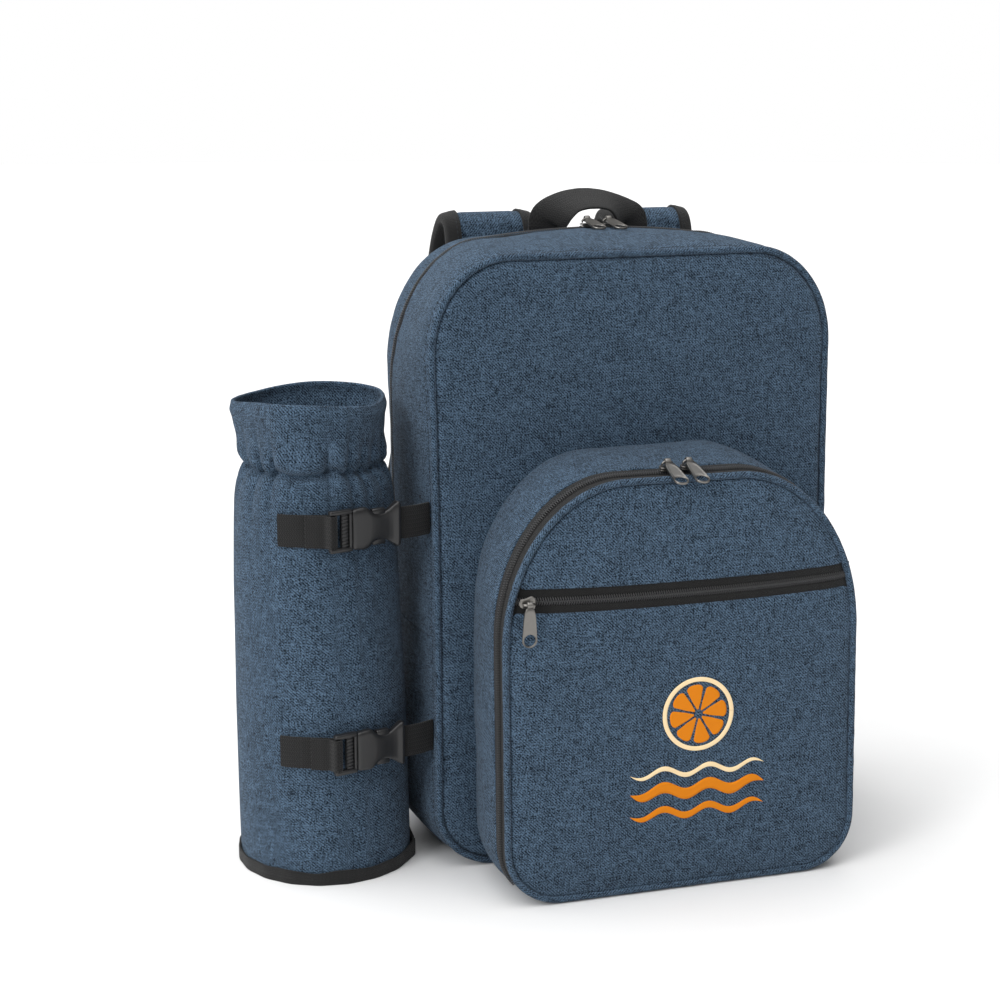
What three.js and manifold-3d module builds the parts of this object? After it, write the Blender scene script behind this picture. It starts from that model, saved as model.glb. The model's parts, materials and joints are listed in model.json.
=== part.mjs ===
// A picnic cooler backpack: a padded main bag, a zipped front pocket, a bottle holder buckled to its left
// side and a net pocket on its right. Millimetres, +Z up, front towards -Y, origin at the middle of the base.
import * as THREE from "three";
import { mergeVertices } from "three/addons/utils/BufferGeometryUtils.js";
import Module from "manifold-3d";

const wasm = await Module();
wasm.setup();

// Sewn pieces lie this far apart.
const GAP = 0.3;

// Main bag
const MAIN_W = 272;
const MAIN_H = 385;
const MAIN_D = 125;
const MAIN_LEAN = 15; // how much further back the front panel is at its top
const MAIN_WALL = 4;
const MAIN_CORNER_X = 52;
const MAIN_CORNER_Z = 59;
const MAIN_FOOT_R = 37;
const MAIN_CROWN = 5; // rise of the top at its middle
const PIPING_D = 4.5;

// Main zip, which runs over the top and down to the side seams
const MAIN_ZIP_SETBACK = 82.5; // behind the front panel's foot
const MAIN_ZIP_SLIT = 5;
const MAIN_ZIP_END_Z = 150;
const TAPE_T = 1.2;
const COIL_W = 3.4;
const COIL_T = 1.3;

// Front pocket
const POCKET_W = 230;
const POCKET_TOP = 258.5;
const POCKET_D = 74.5;
const POCKET_SKEW = 4.4; // the right edge stands this much further forward than the middle
const POCKET_CORNER_X = 77;
const POCKET_CORNER_Z = 98;
const POCKET_FOOT_R = 33;
const POCKET_WALL = 3;
const POCKET_BULGE = 8;
const POCKET_ZIP_W = 17;
const POCKET_COIL_W = 5.4;
const CROSS_ZIP_Z = 190;
const CROSS_ZIP_W = 14;
const CROSS_ZIP_SAG = 1.5;

// Zip sliders and pulls
const SLIDER_L = 10.5;
const SLIDER_W = 8;
const SLIDER_T = 2.4;
const BRIDGE_D = 1.3;
const BRIDGE_H = 3; // from the slider's top to the middle of its bar
const PULL_L = 26;
const PULL_W = 9.4;
const PULL_NECK = 7;
const PULL_T = 1.2;
const PULL_HOLE = 7;
const EYE_W = 3.6;
const MAIN_SLIDERS_X = [-3, 12];
const POCKET_SLIDERS_X = [-7, 6.5];
const CROSS_SLIDER_X = -101;

// Carry handle
const HANDLE_W = 25;
const HANDLE_T = 1.8;
const HANDLE_SPAN = 59;
const HANDLE_RISE = 20;
const HANDLE_X = 3;
const HANDLE_SETBACK = 14; // behind the main zip
const HANDLE_TIP = 27; // degrees that the grip's rear edge is tipped up

// Shoulder straps
const STRAP_W = 64;
const STRAP_T = 8;
const STRAP_BIND_W = 10;
const STRAP_BIND_T = 1;
const STRAP_X = 57;
const STRAP_SKEW = 4; // both straps are sewn on this far to the right
const STRAP_REACH = 36; // how far the straps stand off behind the bag
const ANCHOR_W = 25;
const ANCHOR_T = 1.6;
const ANCHOR_X = 104;
const ANCHOR_FOOT_Z = 30;
const ANCHOR_LEAD = 6;
const ANCHOR_SAG = 3;
const ANCHOR_LAY = 12;
const LOCK_T = 3.6;
const LOCK_L = 24;
const LOCK_RIM = 4;
const LOCK_SLOTS = [-5, 5];
const LOCK_SLOT_W = 4;

// Bottle holder
const HOLDER_H = 297;
const HOLDER_R = 54.5;
const HOLDER_WALL = 2.6;
const HOLDER_TILT = 5; // how far its rim leans out to the left
const HOLDER_CLEAR = 0.6; // between the holder's widest ring and the bag's side
const HOLDER_BASE_T = 3;
const HOLDER_BIND_H = 8.5;
const HOLDER_BIND_T = 1.3;
const TUCKS = 11;
const TUCK_DEPTH = 3;

// Straps and buckles of the bottle holder
const WEB_W = 20;
const WEB_T = 1.4;
const LOWER_STRAP = { z: 87, webbing: 40, setback: 8 }; // webbing and setback to the left of its front
const UPPER_STRAP = { z: 225, webbing: 35, setback: 5 };
const BUCKLE_W = 26;
const BUCKLE_T = 6.4;
const FRAME_L = 15;
const SHELL_L = 32;
const BAR_W = 3;
const BAR_T = 2.6;
const SLOT_W = 4.6;
const SLOT_CLEAR = 0.8; // a slot is this much wider than its webbing
const BUCKLE_WALL = 1.5;
const BUCKLE_LIFT = 1.4; // between the buckle and the sleeve
const PLUG_T = 4.5;
const ARM_T = 2.4;
const ARM_L = 20;
const ARM_INSET = 1.6; // from the shell's wall to the arms
const TAIL_L = 16; // the webbing's free end, sewn back on itself

// Net pocket on the right side
const NET_TOP = 140;
const NET_FOOT = 40;
const NET_BULGE = 38;
const NET_FRONT = 10; // behind the front panel's foot
const NET_REAR = 22; // before the back
const NET_T = 1.2;
const NET_HEM_H = 9;
const NET_HEM_T = 2;
const NET_COLUMNS = 7;
const NET_ROWS = 6;
const NET_OPEN = 0.66; // share of a net cell that is open

const COLOURS = {
  melange: new THREE.MeshStandardMaterial({ color: 0x3f5874, roughness: 0.95, metalness: 0 }),
  webbing: new THREE.MeshStandardMaterial({ color: 0x151515, roughness: 0.85, metalness: 0 }),
  tape: new THREE.MeshStandardMaterial({ color: 0x101010, roughness: 0.8, metalness: 0 }),
  coil: new THREE.MeshStandardMaterial({ color: 0x1c1c1c, roughness: 0.5, metalness: 0 }),
  nickel: new THREE.MeshStandardMaterial({ color: 0x9a9590, roughness: 0.35, metalness: 1 }),
  plastic: new THREE.MeshStandardMaterial({ color: 0x1a1a1b, roughness: 0.45, metalness: 0 }),
  net: new THREE.MeshStandardMaterial({ color: 0x2b2b2d, roughness: 0.9, metalness: 0 }),
};

const bag = new THREE.Group();
const vec = (x, y, z) => new THREE.Vector3(x, y, z);
const lerp = THREE.MathUtils.lerp;
const rad = THREE.MathUtils.degToRad;

function addPiece(name, geometry, material) {
  const mesh = new THREE.Mesh(geometry, material);
  mesh.name = name;
  bag.add(mesh);
  return mesh;
}

// Geometry from points and triangles, turned inside out where its volume comes out negative.
function closedGeometry(points, triangles) {
  let volume = 0;
  const cross = new THREE.Vector3();
  for (const [a, b, c] of triangles) {
    volume += points[a].dot(cross.crossVectors(points[b], points[c]));
  }
  const index = triangles.flatMap(([a, b, c]) => (volume < 0 ? [a, c, b] : [a, b, c]));
  const geometry = new THREE.BufferGeometry();
  geometry.setAttribute("position", new THREE.Float32BufferAttribute(points.flatMap((p) => p.toArray()), 3));
  geometry.setIndex(index);
  return geometry;
}

// A skin through loops of equally many points. Its ends join up when it is closed. Otherwise a ladder of
// quads closes each end, or a fan to the loop's middle.
function loft(loops, ends = "ladder") {
  const points = loops.flat();
  const n = loops[0].length;
  const triangles = [];
  const quad = (a, b, c, d) => triangles.push([a, b, c], [a, c, d]);
  const spans = ends === "closed" ? loops.length : loops.length - 1;
  for (let i = 0; i < spans; i++) {
    const here = i * n;
    const next = ((i + 1) % loops.length) * n;
    for (let k = 0; k < n; k++) {
      const l = (k + 1) % n;
      quad(here + k, here + l, next + l, next + k);
    }
  }
  const last = (loops.length - 1) * n;
  if (ends === "ladder") {
    for (let k = 0; k < n / 2 - 1; k++) {
      quad(n - 1 - k, n - 2 - k, k + 1, k);
      quad(last + k, last + k + 1, last + n - 2 - k, last + n - 1 - k);
    }
  }
  if (ends === "fan") {
    for (const [start, turned] of [[0, true], [last, false]]) {
      const middle = new THREE.Vector3();
      for (let k = 0; k < n; k++) middle.addScaledVector(points[start + k], 1 / n);
      points.push(middle);
      for (let k = 0; k < n; k++) {
        const pair = [start + k, start + ((k + 1) % n)];
        triangles.push([points.length - 1, ...(turned ? pair.reverse() : pair)]);
      }
    }
  }
  return closedGeometry(points, triangles);
}

// A geometry's corners and faces alone, with shared corners merged.
function welded(geometry) {
  const bare = geometry.clone();
  bare.deleteAttribute("normal");
  bare.deleteAttribute("uv");
  return mergeVertices(bare, 1e-4);
}

function toSolid(geometry) {
  const merged = welded(geometry);
  return new wasm.Manifold(
    new wasm.Mesh({
      numProp: 3,
      vertProperties: new Float32Array(merged.attributes.position.array),
      triVerts: new Uint32Array(merged.index.array),
    }),
  );
}

function toGeometry(solid) {
  const { vertProperties, triVerts } = solid.getMesh();
  const geometry = new THREE.BufferGeometry();
  geometry.setAttribute("position", new THREE.BufferAttribute(vertProperties, 3));
  geometry.setIndex(new THREE.BufferAttribute(triVerts, 1));
  return geometry;
}

const join = (geometries) => toGeometry(geometries.map(toSolid).reduce((all, one) => all.add(one)));
const cut = (geometry, tools) => {
  return toGeometry(tools.map(toSolid).reduce((left, tool) => left.subtract(tool), toSolid(geometry)));
};

// A mirrored geometry's faces turned the right way out again.
function turned(geometry) {
  const merged = welded(geometry);
  merged.setIndex([...merged.index.array].reverse());
  return merged;
}

function box(sizeX, sizeY, sizeZ, x, y, z) {
  return new THREE.BoxGeometry(sizeX, sizeY, sizeZ).translate(x, y, z);
}

// A value of a table at a place between its rows, along straight lines.
function tableAt(table, column, key, at) {
  let row = 1;
  while (row < table.length - 1 && table[row][key] < at) row++;
  const [low, high] = [table[row - 1], table[row]];
  const share = THREE.MathUtils.clamp((at - low[key]) / (high[key] - low[key]), 0, 1);
  return lerp(low[column], high[column], share);
}

// A rounded rectangle in x and z, from the middle of its foot to the right, over the top and back. Its
// corners are quarter ellipses, and seams is a list of heights at which its sides have a point.
const FOOT_STEPS = 4;
const CORNER_STEPS = 6;
const CROWN_SHOULDER = 0.75; // share of the crown half way from the middle to the corner
function outline({ half, foot, top, cornerX, cornerZ, footR, crown = 0, waist = 0 }, seams) {
  const side = [];
  for (let i = 0; i <= FOOT_STEPS; i++) {
    const a = (i / FOOT_STEPS) * (Math.PI / 2);
    side.push([half - footR + footR * Math.sin(a), foot + footR - footR * Math.cos(a)]);
  }
  for (const z of seams) side.push([half, z]);
  for (let i = 0; i <= CORNER_STEPS; i++) {
    const a = (i / CORNER_STEPS) * (Math.PI / 2);
    side.push([half - cornerX + cornerX * Math.cos(a), top - cornerZ + cornerZ * Math.sin(a)]);
  }
  side.push([(half - cornerX) / 2, top + crown * CROWN_SHOULDER]);
  const pinch = (z) => 1 - waist * Math.sin(Math.PI * THREE.MathUtils.clamp(z / top, 0, 1));
  const right = side.map(([x, z]) => new THREE.Vector2(x * pinch(z), z));
  const left = [...right].reverse().map((p) => new THREE.Vector2(-p.x, p.y));
  return [new THREE.Vector2(0, foot), ...right, new THREE.Vector2(0, top + crown), ...left];
}

// Half the width of such an outline at a height, on its straight steps.
function halfAt(sizes, seams, z) {
  const side = outline(sizes, seams).slice(1, 1 + FOOT_STEPS + 1 + seams.length + CORNER_STEPS + 1);
  let i = 1;
  while (i < side.length - 1 && side[i].y < z) i++;
  const share = THREE.MathUtils.clamp((z - side[i - 1].y) / (side[i].y - side[i - 1].y), 0, 1);
  return lerp(side[i - 1].x, side[i].x, share);
}

// The main bag's rings from front to back, as shares of its width, height and corner sizes.
const MAIN_RINGS = [
  { depth: 0, width: 0.988, height: 0.993, cornerX: 1, cornerZ: 1, crown: 0 },
  { depth: 0.1, width: 1, height: 1.001, cornerX: 1.06, cornerZ: 1.1, crown: 0.25 },
  { depth: 0.35, width: 1.012, height: 1.006, cornerX: 1.18, cornerZ: 1.4, crown: 0.8 },
  { depth: 0.66, width: 1.016, height: 1.008, cornerX: 1.25, cornerZ: 1.6, crown: 1 },
  { depth: 0.85, width: 0.978, height: 1.002, cornerX: 1.1, cornerZ: 1.3, crown: 0.6 },
  { depth: 1, width: 0.92, height: 0.99, cornerX: 0.95, cornerZ: 1.05, crown: 0 },
];
const MAIN_WAIST = 0.012;
const BACK_Y = MAIN_D / 2;
const ZIP_DEPTH = MAIN_ZIP_SETBACK / MAIN_D;
const frontY = (z) => -MAIN_D / 2 + (MAIN_LEAN * z) / MAIN_H;
const mainY = (depth, z) => lerp(frontY(z), BACK_Y, depth);
const LEAST_DEPTH = MAIN_D - MAIN_LEAN;
const MAIN_SIDE_Z = 0.6 * MAIN_H; // one more point on each side, under the corner
const MAIN_SEAMS = [MAIN_ZIP_END_Z, MAIN_SIDE_Z];

// The sizes of the main bag's ring at a depth share, drawn in by inset.
function mainRing(depth, inset = 0) {
  const share = (column) => tableAt(MAIN_RINGS, column, "depth", depth);
  return {
    half: (share("width") * MAIN_W) / 2 - inset,
    foot: inset,
    top: share("height") * MAIN_H - inset,
    cornerX: share("cornerX") * MAIN_CORNER_X - inset,
    cornerZ: share("cornerZ") * MAIN_CORNER_Z - inset,
    footR: MAIN_FOOT_R - inset,
    crown: share("crown") * MAIN_CROWN,
    waist: MAIN_WAIST,
  };
}

// The point of an outline where the sides have their seam, and the outline's run of points above or
// below it.
const SEAM_AT = 1 + FOOT_STEPS + 1;
function upperRun(points) {
  return points.slice(SEAM_AT, points.length - SEAM_AT + 1);
}
function lowerRun(points) {
  const start = points.length - SEAM_AT;
  return [...points.slice(start), ...points.slice(0, SEAM_AT + 1)];
}

// A padded strip of a bag's gusset between two depth shares. ringAt gives its outlines and yAt their
// places, run picks the stretch of the outline, and sunk draws the strip in below its neighbours.
function gussetStrip({ ringAt, yAt, from, to, rows, wall, seams, run, sunk = 0, ends = "ladder" }) {
  const skins = [sunk, sunk + wall].map((inset) => {
    return Array.from({ length: rows + 1 }, (_, i) => {
      const depth = lerp(from, to, i / rows);
      return run(outline(ringAt(depth, inset), seams)).map((p) => vec(p.x, yAt(depth, p.y, p.x), p.y));
    });
  });
  const [outer, inner] = skins;
  const loops = outer[0].map((_, k) => [
    ...outer.map((row) => row[k]),
    ...inner.map((row) => row[k]).reverse(),
  ]);
  return loft(loops, ends);
}

// A flat padded panel inside an outline. share lists the rings from its middle to its edge.
const PANEL_SHARES = [0.4, 0.8, 1];
function flatPanel(sizes, seams, faceY, backY) {
  const edge = outline(sizes, seams);
  const middle = new THREE.Vector2(0, (sizes.foot + sizes.top) / 2);
  const ring = (share, y) => edge.map((p) => {
    const q = middle.clone().lerp(p, share);
    return vec(q.x, y(q.y), q.y);
  });
  const face = PANEL_SHARES.map((share) => ring(share, faceY));
  const back = PANEL_SHARES.map((share) => ring(share, backY)).reverse();
  return loft([...face, ...back], "fan");
}

// A round cord round an outline, with its middle on the outline.
const CORD_SIDES = 6;
function piping(sizes, seams, y, diameter) {
  const path = outline(sizes, seams).map((p) => vec(p.x, y(p.y, p.x), p.y));
  const loops = path.map((p, i) => {
    const along = path[(i + 1) % path.length].clone().sub(path[(i + path.length - 1) % path.length]);
    along.normalize();
    const across = vec(along.z, 0, -along.x).normalize();
    const out = along.clone().cross(across).normalize();
    return Array.from({ length: CORD_SIDES }, (_, k) => {
      const a = (k / CORD_SIDES) * 2 * Math.PI;
      return p.clone().addScaledVector(across, (Math.cos(a) * diameter) / 2)
        .addScaledVector(out, (Math.sin(a) * diameter) / 2);
    });
  });
  return loft(loops, "closed");
}

// A flat band along a path, with its own width direction at each point.
function band(path, widthDirections, widths, thickness) {
  const loops = path.map((p, i) => {
    const next = path[Math.min(i + 1, path.length - 1)];
    const along = next.clone().sub(path[Math.max(i - 1, 0)]).normalize();
    const across = widthDirections[i].clone().addScaledVector(along, -widthDirections[i].dot(along));
    across.normalize();
    const up = along.clone().cross(across).multiplyScalar(thickness / 2);
    const half = across.multiplyScalar(widths[i] / 2);
    const corner = (u, v) => p.clone().addScaledVector(half, u).addScaledVector(up, v);
    return [corner(-1, 1), corner(0, 1), corner(1, 1), corner(1, -1), corner(0, -1), corner(-1, -1)];
  });
  return loft(loops);
}

function buildMainBag() {
  const zipHalf = MAIN_ZIP_SLIT / 2 / MAIN_D;
  const edge = (PIPING_D / 2 + GAP) / LEAST_DEPTH;
  const rearEdge = 1 - (PIPING_D + GAP) / LEAST_DEPTH;
  const gusset = { ringAt: mainRing, yAt: mainY, wall: MAIN_WALL };
  const upper = { seams: [MAIN_ZIP_END_Z + GAP / 2, MAIN_SIDE_Z], run: upperRun };
  const lower = { seams: [MAIN_ZIP_END_Z - GAP / 2, MAIN_SIDE_Z], run: lowerRun };
  const slit = [ZIP_DEPTH - zipHalf, ZIP_DEPTH + zipHalf];
  addPiece("top_gusset_front", gussetStrip({ ...gusset, ...upper, from: edge, to: slit[0], rows: 3 }),
    COLOURS.melange);
  addPiece("top_gusset_rear", gussetStrip({ ...gusset, ...upper, from: slit[1], to: rearEdge, rows: 2 }),
    COLOURS.melange);
  addPiece("base_gusset", gussetStrip({ ...gusset, ...lower, from: edge, to: rearEdge, rows: 4 }),
    COLOURS.melange);

  const inZip = { ...gusset, ...upper, rows: 1 };
  const tapeHalf = zipHalf - GAP / MAIN_D;
  addPiece("main_zip_tape", gussetStrip({
    ...inZip, from: ZIP_DEPTH - tapeHalf, to: ZIP_DEPTH + tapeHalf, wall: TAPE_T, sunk: COIL_T,
  }), COLOURS.tape);
  const coilHalf = COIL_W / 2 / MAIN_D;
  addPiece("main_zip_coil", gussetStrip({
    ...inZip, from: ZIP_DEPTH - coilHalf, to: ZIP_DEPTH + coilHalf, wall: COIL_T - GAP, sunk: 0,
  }), COLOURS.coil);

  const seams = MAIN_SEAMS;
  const cordRing = { ...mainRing(0), half: MAIN_W / 2 - PIPING_D / 2, foot: PIPING_D / 2 + GAP };
  cordRing.top = MAIN_H - PIPING_D / 2;
  addPiece("main_front_piping", piping(cordRing, seams, frontY, PIPING_D), COLOURS.melange);
  const inside = PIPING_D / 2 + GAP;
  const drawnIn = (ring) => ({
    ...ring, half: ring.half - inside, foot: ring.foot + inside, top: ring.top - inside,
    cornerX: ring.cornerX - inside, cornerZ: ring.cornerZ - inside, footR: ring.footR - inside,
  });
  addPiece("main_front_panel", flatPanel(
    drawnIn(cordRing), seams, (z) => frontY(z) - PIPING_D / 2, (z) => frontY(z) + PIPING_D / 2 - GAP,
  ), COLOURS.melange);

  const backCord = mainRing(1, PIPING_D / 2);
  backCord.foot += GAP;
  const backCordY = () => BACK_Y - PIPING_D / 2;
  addPiece("back_piping", piping(backCord, seams, backCordY, PIPING_D), COLOURS.melange);
  addPiece("back_panel", flatPanel(
    drawnIn(backCord), seams, () => BACK_Y - MAIN_WALL, () => BACK_Y,
  ), COLOURS.melange);
}

// The front pocket's rings from the main panel, depth 0, to its own front, depth 1.
const POCKET_RINGS = [
  { depth: 0, width: 0.957, height: 1.02, corner: 0.97 },
  { depth: 0.5, width: 0.99, height: 1.012, corner: 1 },
  { depth: 0.8, width: 0.998, height: 1.003, corner: 1 },
  { depth: 1, width: 0.985, height: 0.992, corner: 1 },
];
const POCKET_FOOT = 0.6;
const POCKET_SEAMS = [CROSS_ZIP_Z / 2];
const TAPE_SUNK = 0.6; // the pocket zip's tape below the edge of the gusset
const CROSS_SUNK = 1; // the cross zip's tape behind the pocket's face
const PANEL_GAP = 1.5 * GAP; // between the pocket's piping and its front panels
const pocketBackY = (z) => frontY(z) - PIPING_D / 2 - GAP;
const pocketFaceY = (x, z) => frontY(z) - POCKET_D - (POCKET_SKEW * x) / (POCKET_W / 2);
const pocketY = (depth, z, x) => lerp(pocketBackY(z), pocketFaceY(x, z), depth);

function pocketRing(depth, inset = 0) {
  const share = (column) => tableAt(POCKET_RINGS, column, "depth", depth);
  return {
    half: (share("width") * POCKET_W) / 2 - inset,
    foot: POCKET_FOOT + inset,
    top: share("height") * POCKET_TOP - inset,
    cornerX: share("corner") * POCKET_CORNER_X - inset,
    cornerZ: share("corner") * POCKET_CORNER_Z - inset,
    footR: POCKET_FOOT_R - inset,
  };
}

const POCKET_CORD = {
  ...pocketRing(1), half: POCKET_W / 2 - PIPING_D / 2, foot: POCKET_FOOT + PIPING_D / 2,
  top: POCKET_TOP - PIPING_D / 2,
};
const POCKET_PANEL = {
  ...POCKET_CORD,
  half: POCKET_CORD.half - PIPING_D / 2 - PANEL_GAP,
  foot: POCKET_CORD.foot + PIPING_D / 2 + GAP,
  top: POCKET_CORD.top - PIPING_D / 2 - PANEL_GAP,
  cornerX: POCKET_CORD.cornerX - PIPING_D / 2,
  cornerZ: POCKET_CORD.cornerZ - PIPING_D / 2,
  footR: POCKET_CORD.footR - PIPING_D / 2,
};

// A point moved towards its neighbour by the seams' gap.
const shortened = (p, next) => p.clone().add(next.clone().sub(p).setLength(GAP));

// The pocket's bulging front face.
function pocketFace(x, z) {
  const middle = (POCKET_PANEL.foot + POCKET_PANEL.top) / 2;
  const rise = (z - middle) / (POCKET_PANEL.top - middle);
  const spread = x / POCKET_PANEL.half;
  const swell = Math.max(0, 1 - spread * spread) * Math.max(0, 1 - rise * rise);
  return pocketFaceY(x, z) - POCKET_BULGE * Math.sqrt(swell);
}

const crossZipZ = (x) => {
  const spread = x / POCKET_PANEL.half;
  return CROSS_ZIP_Z - CROSS_ZIP_SAG * (1 - spread * spread);
};

// A panel of the pocket's front: rows of points at rising shares between two heights.
const FACE_COLUMNS = 8;
function facePanel(levels, lowAt, highAt, sunk, wall) {
  const rows = levels.map((level) => {
    const row = [];
    for (let i = 0; i <= FACE_COLUMNS; i++) {
      const share = (i / FACE_COLUMNS) * 2 - 1;
      const z0 = level(0);
      const x = share * halfAt(POCKET_PANEL, POCKET_SEAMS, z0);
      const z = THREE.MathUtils.clamp(z0, lowAt(x), highAt(x));
      row.push(vec(x, pocketFace(x, z) + sunk, z));
    }
    return row;
  });
  return loft(rows.map((row) => [...row, ...row.map((p) => p.clone().add(vec(0, wall, 0))).reverse()]));
}

function arcLevels(low, high, middle, radius, steps) {
  return Array.from({ length: steps + 1 }, (_, i) => {
    const from = Math.asin((low - middle) / radius);
    const to = Math.asin((high - middle) / radius);
    return middle + radius * Math.sin(lerp(from, to, i / steps));
  });
}

function buildPocket() {
  const cordY = (z, x) => pocketFaceY(x, z);
  const seams = POCKET_SEAMS;
  addPiece("pocket_piping", piping(POCKET_CORD, seams, cordY, PIPING_D), COLOURS.melange);

  const shareOf = (depth) => 1 - depth / POCKET_D;
  const zipFrom = shareOf(PIPING_D / 2 + GAP);
  const zipTo = shareOf(PIPING_D / 2 + GAP + POCKET_ZIP_W);
  const strip = { ringAt: pocketRing, yAt: pocketY, seams };
  const whole = (points) => points;
  addPiece("pocket_gusset", gussetStrip({
    ...strip, from: 0, to: zipTo - GAP / POCKET_D, rows: 2, wall: POCKET_WALL, run: whole, ends: "closed",
  }), COLOURS.melange);
  // The zip ends half way round each corner of the foot.
  const zipEnd = 1 + FOOT_STEPS / 2;
  const overTop = (points) => points.slice(zipEnd, points.length - zipEnd + 1);
  const underFoot = (points) => {
    const right = points.slice(1, zipEnd + 1);
    right[zipEnd - 1] = shortened(right[zipEnd - 1], right[zipEnd - 2]);
    return [...right.map((p) => new THREE.Vector2(-p.x, p.y)).reverse(), points[0], ...right];
  };
  addPiece("pocket_zip_tape", gussetStrip({
    ...strip, from: zipFrom, to: zipTo, rows: 1, wall: TAPE_T, sunk: TAPE_SUNK, run: overTop,
  }), COLOURS.tape);
  addPiece("pocket_foot_strip", gussetStrip({
    ...strip, from: zipFrom, to: zipTo, rows: 1, wall: POCKET_WALL, run: underFoot,
  }), COLOURS.melange);
  const coilMiddle = (zipFrom + zipTo) / 2;
  const coilHalf = POCKET_COIL_W / 2 / POCKET_D;
  addPiece("pocket_zip_coil", gussetStrip({
    ...strip, from: coilMiddle + coilHalf, to: coilMiddle - coilHalf, rows: 1, wall: COIL_T,
    sunk: TAPE_SUNK - GAP - COIL_T, run: overTop,
  }), COLOURS.coil);

  const half = CROSS_ZIP_W / 2;
  const upperStart = CROSS_ZIP_Z + half;
  const lowerEnd = CROSS_ZIP_Z - half;
  const arch = arcLevels(upperStart, POCKET_PANEL.top, POCKET_PANEL.top - POCKET_PANEL.cornerZ,
    POCKET_PANEL.cornerZ, CORNER_STEPS);
  const upperLevels = arch.map((z, i) => (x) => (i ? z : crossZipZ(x) + half));
  const foot = arcLevels(POCKET_PANEL.foot, POCKET_PANEL.foot + POCKET_PANEL.footR,
    POCKET_PANEL.foot + POCKET_PANEL.footR, POCKET_PANEL.footR, FOOT_STEPS);
  const sides = [1 / 3, 2 / 3, 1].map((share) => lerp(foot.at(-1), lowerEnd, share));
  const lowerLevels = [...foot, ...sides].map((z) => () => z);
  const wall = POCKET_WALL;
  addPiece("pocket_panel_upper", facePanel(
    upperLevels, (x) => crossZipZ(x) + half + GAP, () => POCKET_PANEL.top, 0, wall,
  ), COLOURS.melange);
  addPiece("pocket_panel_lower", facePanel(
    lowerLevels, () => 0, (x) => crossZipZ(x) - half - GAP, 0, wall,
  ), COLOURS.melange);

  // The zip across the pocket's front: a tape sunk between the panels and the coil along its middle.
  const across = (halfWidth, sunk, thickness) => {
    const reach = halfAt(POCKET_PANEL, POCKET_SEAMS, upperStart);
    const loops = [];
    for (let i = 0; i <= FACE_COLUMNS; i++) {
      const x = ((i / FACE_COLUMNS) * 2 - 1) * reach;
      const z = crossZipZ(x);
      const point = (up, deep) => vec(x, pocketFace(x, z) + deep, z + up);
      loops.push([
        point(-halfWidth, sunk), point(halfWidth, sunk),
        point(halfWidth, sunk + thickness), point(-halfWidth, sunk + thickness),
      ]);
    }
    return loft(loops);
  };
  addPiece("cross_zip_tape", across(half, CROSS_SUNK, TAPE_T), COLOURS.tape);
  addPiece("cross_zip_coil", across(POCKET_COIL_W / 2, CROSS_SUNK - GAP - COIL_T, COIL_T), COLOURS.coil);
}

// Half of a slider's outline, as shares of half its length and half its width.
const SLIDER_OUTLINE = [
  { along: -1, across: 0.55 },
  { along: -0.3, across: 0.62 },
  { along: 0.45, across: 1 },
  { along: 1, across: 1 },
];

// A zip slider along X with its foot at z 0: a waisted body and a wire bridge over it.
function sliderGeometry() {
  const edge = SLIDER_OUTLINE.map(({ along, across }) => {
    return new THREE.Vector2((along * SLIDER_L) / 2, (-across * SLIDER_W) / 2);
  });
  const shape = new THREE.Shape([...edge, ...edge.map((p) => new THREE.Vector2(p.x, -p.y)).reverse()]);
  const body = new THREE.ExtrudeGeometry(shape, { depth: SLIDER_T, bevelEnabled: false });
  const reach = EYE_W / 2 + GAP;
  const root = SLIDER_T / 2;
  const postH = root + BRIDGE_H + BRIDGE_D / 2;
  const posts = [-1, 1].map((side) => {
    return box(BRIDGE_D, BRIDGE_D, postH, side * (reach + BRIDGE_D / 2), 0, SLIDER_T - root + postH / 2);
  });
  const barX = 2 * reach + BRIDGE_D;
  const bar = new THREE.CylinderGeometry(BRIDGE_D / 2, BRIDGE_D / 2, barX, 8).rotateZ(Math.PI / 2);
  bar.translate(0, 0, SLIDER_T + BRIDGE_H);
  return join([body, ...posts, bar]);
}

// A zip pull that hangs from the middle of its eye, at the origin, towards -Y: a rolled eye along X, a
// flat tab that widens downwards and a round hole near its end.
function pullGeometry() {
  const eyeR = BRIDGE_D / 2 + GAP + PULL_T;
  const ring = new THREE.Shape().absarc(0, 0, eyeR, 0, 2 * Math.PI, false);
  ring.holes.push(new THREE.Path().absarc(0, 0, BRIDGE_D / 2 + GAP, 0, 2 * Math.PI, true));
  const eye = new THREE.ExtrudeGeometry(ring, { depth: EYE_W, bevelEnabled: false, curveSegments: 6 });
  eye.translate(0, 0, -EYE_W / 2).rotateY(Math.PI / 2);
  const endR = PULL_W / 2;
  const tab = new THREE.Shape();
  const start = eyeR - PULL_T / 2;
  const flat = PULL_L - endR;
  tab.moveTo(EYE_W / 2, -start).lineTo(PULL_NECK / 2, -start - EYE_W).lineTo(endR, -flat);
  tab.absarc(0, -flat, endR, 0, -Math.PI, true);
  tab.lineTo(-PULL_NECK / 2, -start - EYE_W).lineTo(-EYE_W / 2, -start).closePath();
  tab.holes.push(new THREE.Path().absarc(0, -flat, PULL_HOLE / 2, 0, 2 * Math.PI, false));
  const plate = new THREE.ExtrudeGeometry(tab, { depth: PULL_T, bevelEnabled: false, curveSegments: 5 });
  plate.translate(0, 0, -PULL_T / 2);
  return join([eye, plate]);
}

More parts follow.
